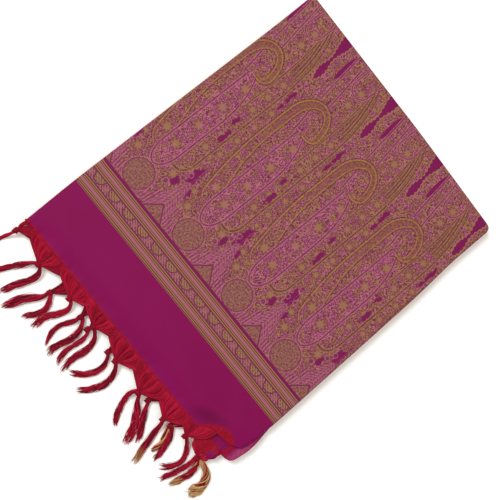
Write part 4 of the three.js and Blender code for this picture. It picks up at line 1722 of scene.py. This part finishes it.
    def make(self, yarn: bpy.types.Material) -> bpy.types.Object:
        """Build the tassel as one piece."""
        for web in self.webs():
            self.fan(web)
        self.knot()
        for strand in self.strands:
            self.strand(strand)
        made = self.draft.piece(f"fringe_{self.head.name}", yarn)
        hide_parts(self.head.name)
        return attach(made, BODY)


# The studio


@dataclass(frozen=True)
class Studio:
    """A pale surface, soft daylight from the left and a camera at the photograph's angle."""

    lens: float = 57.6
    sensor: float = 36.0
    eye: tuple[float, float, float] = (-41.99, -131.82, 751.8)
    right: tuple[float, float, float] = (0.62378, 0.76785, 0.14597)
    up: tuple[float, float, float] = (-0.77905, 0.62588, 0.03683)
    back: tuple[float, float, float] = (-0.06308, -0.13669, 0.98860)
    reach: float = 4.0
    sky: float = 0.43
    sky_tint: tuple[float, float, float, float] = (1.0, 0.91, 0.79, 1.0)
    lamp_tint: tuple[float, float, float] = (0.93, 0.97, 1.0)

    def camera(self) -> None:
        """Set up the camera."""
        data = bpy.data.cameras.new("camera")
        data.lens, data.sensor_width = self.lens, self.sensor
        data.clip_start, data.clip_end = 0.01, 50
        made = bpy.data.objects.new("camera", data)
        turn = Matrix((self.right, self.up, self.back)).transposed().to_4x4()
        made.matrix_world = Matrix.Translation([c * MM for c in self.eye]) @ turn
        bpy.context.scene.collection.objects.link(made)
        bpy.context.scene.camera = made

    def floor(self) -> None:
        """Lay the pale surface just under the saree."""
        bm = bmesh.new()
        bmesh.ops.create_grid(bm, x_segments=2, y_segments=2, size=self.reach)
        bmesh.ops.translate(bm, verts=bm.verts[:], vec=(0, 0, -0.0002))
        mesh = bpy.data.meshes.new("pale_floor")
        bm.to_mesh(mesh)
        bm.free()
        mesh.materials.append(PaleSurface().material())
        made = bpy.data.objects.new("pale_floor", mesh)
        bpy.context.scene.collection.objects.link(made)

    def lamp(self, name: str, place: tuple[float, float, float], size: float, power: float) -> None:
        """Hang a square soft lamp that faces the saree.

        Args:
            name: Its name.
            place: Where it hangs, in metres.
            size: Its side, in metres.
            power: Its power, in watts.
        """
        data = bpy.data.lights.new(name, "AREA")
        data.shape, data.size, data.energy = "SQUARE", size, power
        data.color = self.lamp_tint
        made = bpy.data.objects.new(name, data)
        aim = Matrix.Translation(place).to_translation()
        made.rotation_mode = "QUATERNION"
        made.rotation_quaternion = aim.to_track_quat("Z", "Y")
        made.location = place
        bpy.context.scene.collection.objects.link(made)

    def daylight(self) -> None:
        """Light the scene."""
        world = bpy.data.worlds.new("daylight")
        world.use_nodes = True
        sky = world.node_tree.nodes["Background"]
        sky.inputs["Color"].default_value = self.sky_tint
        sky.inputs["Strength"].default_value = self.sky
        bpy.context.scene.world = world
        self.lamp("window", (-1.5, -0.15, 2.6), 0.95, 58.0)
        self.lamp("overhead", (0.5, 0.3, 2.2), 1.6, 13.0)
        bpy.context.scene.view_settings.view_transform = "Standard"

    def make(self) -> None:
        """Set up the studio."""
        self.camera()
        self.floor()
        self.daylight()


def main() -> None:
    """Build the saree and its studio."""
    logging.basicConfig(level=logging.INFO, format="%(name)s: %(message)s")
    Studio().make()
    folds = Folds()
    rng = np.random.default_rng(SEED)
    cloth, yarn = SareeCloth().material(), FringeYarn().material()
    top = TopStretch(folds).make(cloth)
    turned = TurnedEnd(folds).make(cloth)
    layers = HiddenLayers(folds).make(cloth)
    tassels = {}
    for head in HEADS:
        strands = [strand for strand in STRANDS if strand.of == head.name]
        tassels[head.name] = Tassel(folds, head, strands, rng).make(yarn)
    for made in (top, turned, layers, *tassels.values()):
        log.info("%s: %d faces", made.name, len(made.data.polygons))
    fringe = [piece for name, piece in tassels.items() if not name.startswith("low")]


if __name__ == "__main__":
    main()
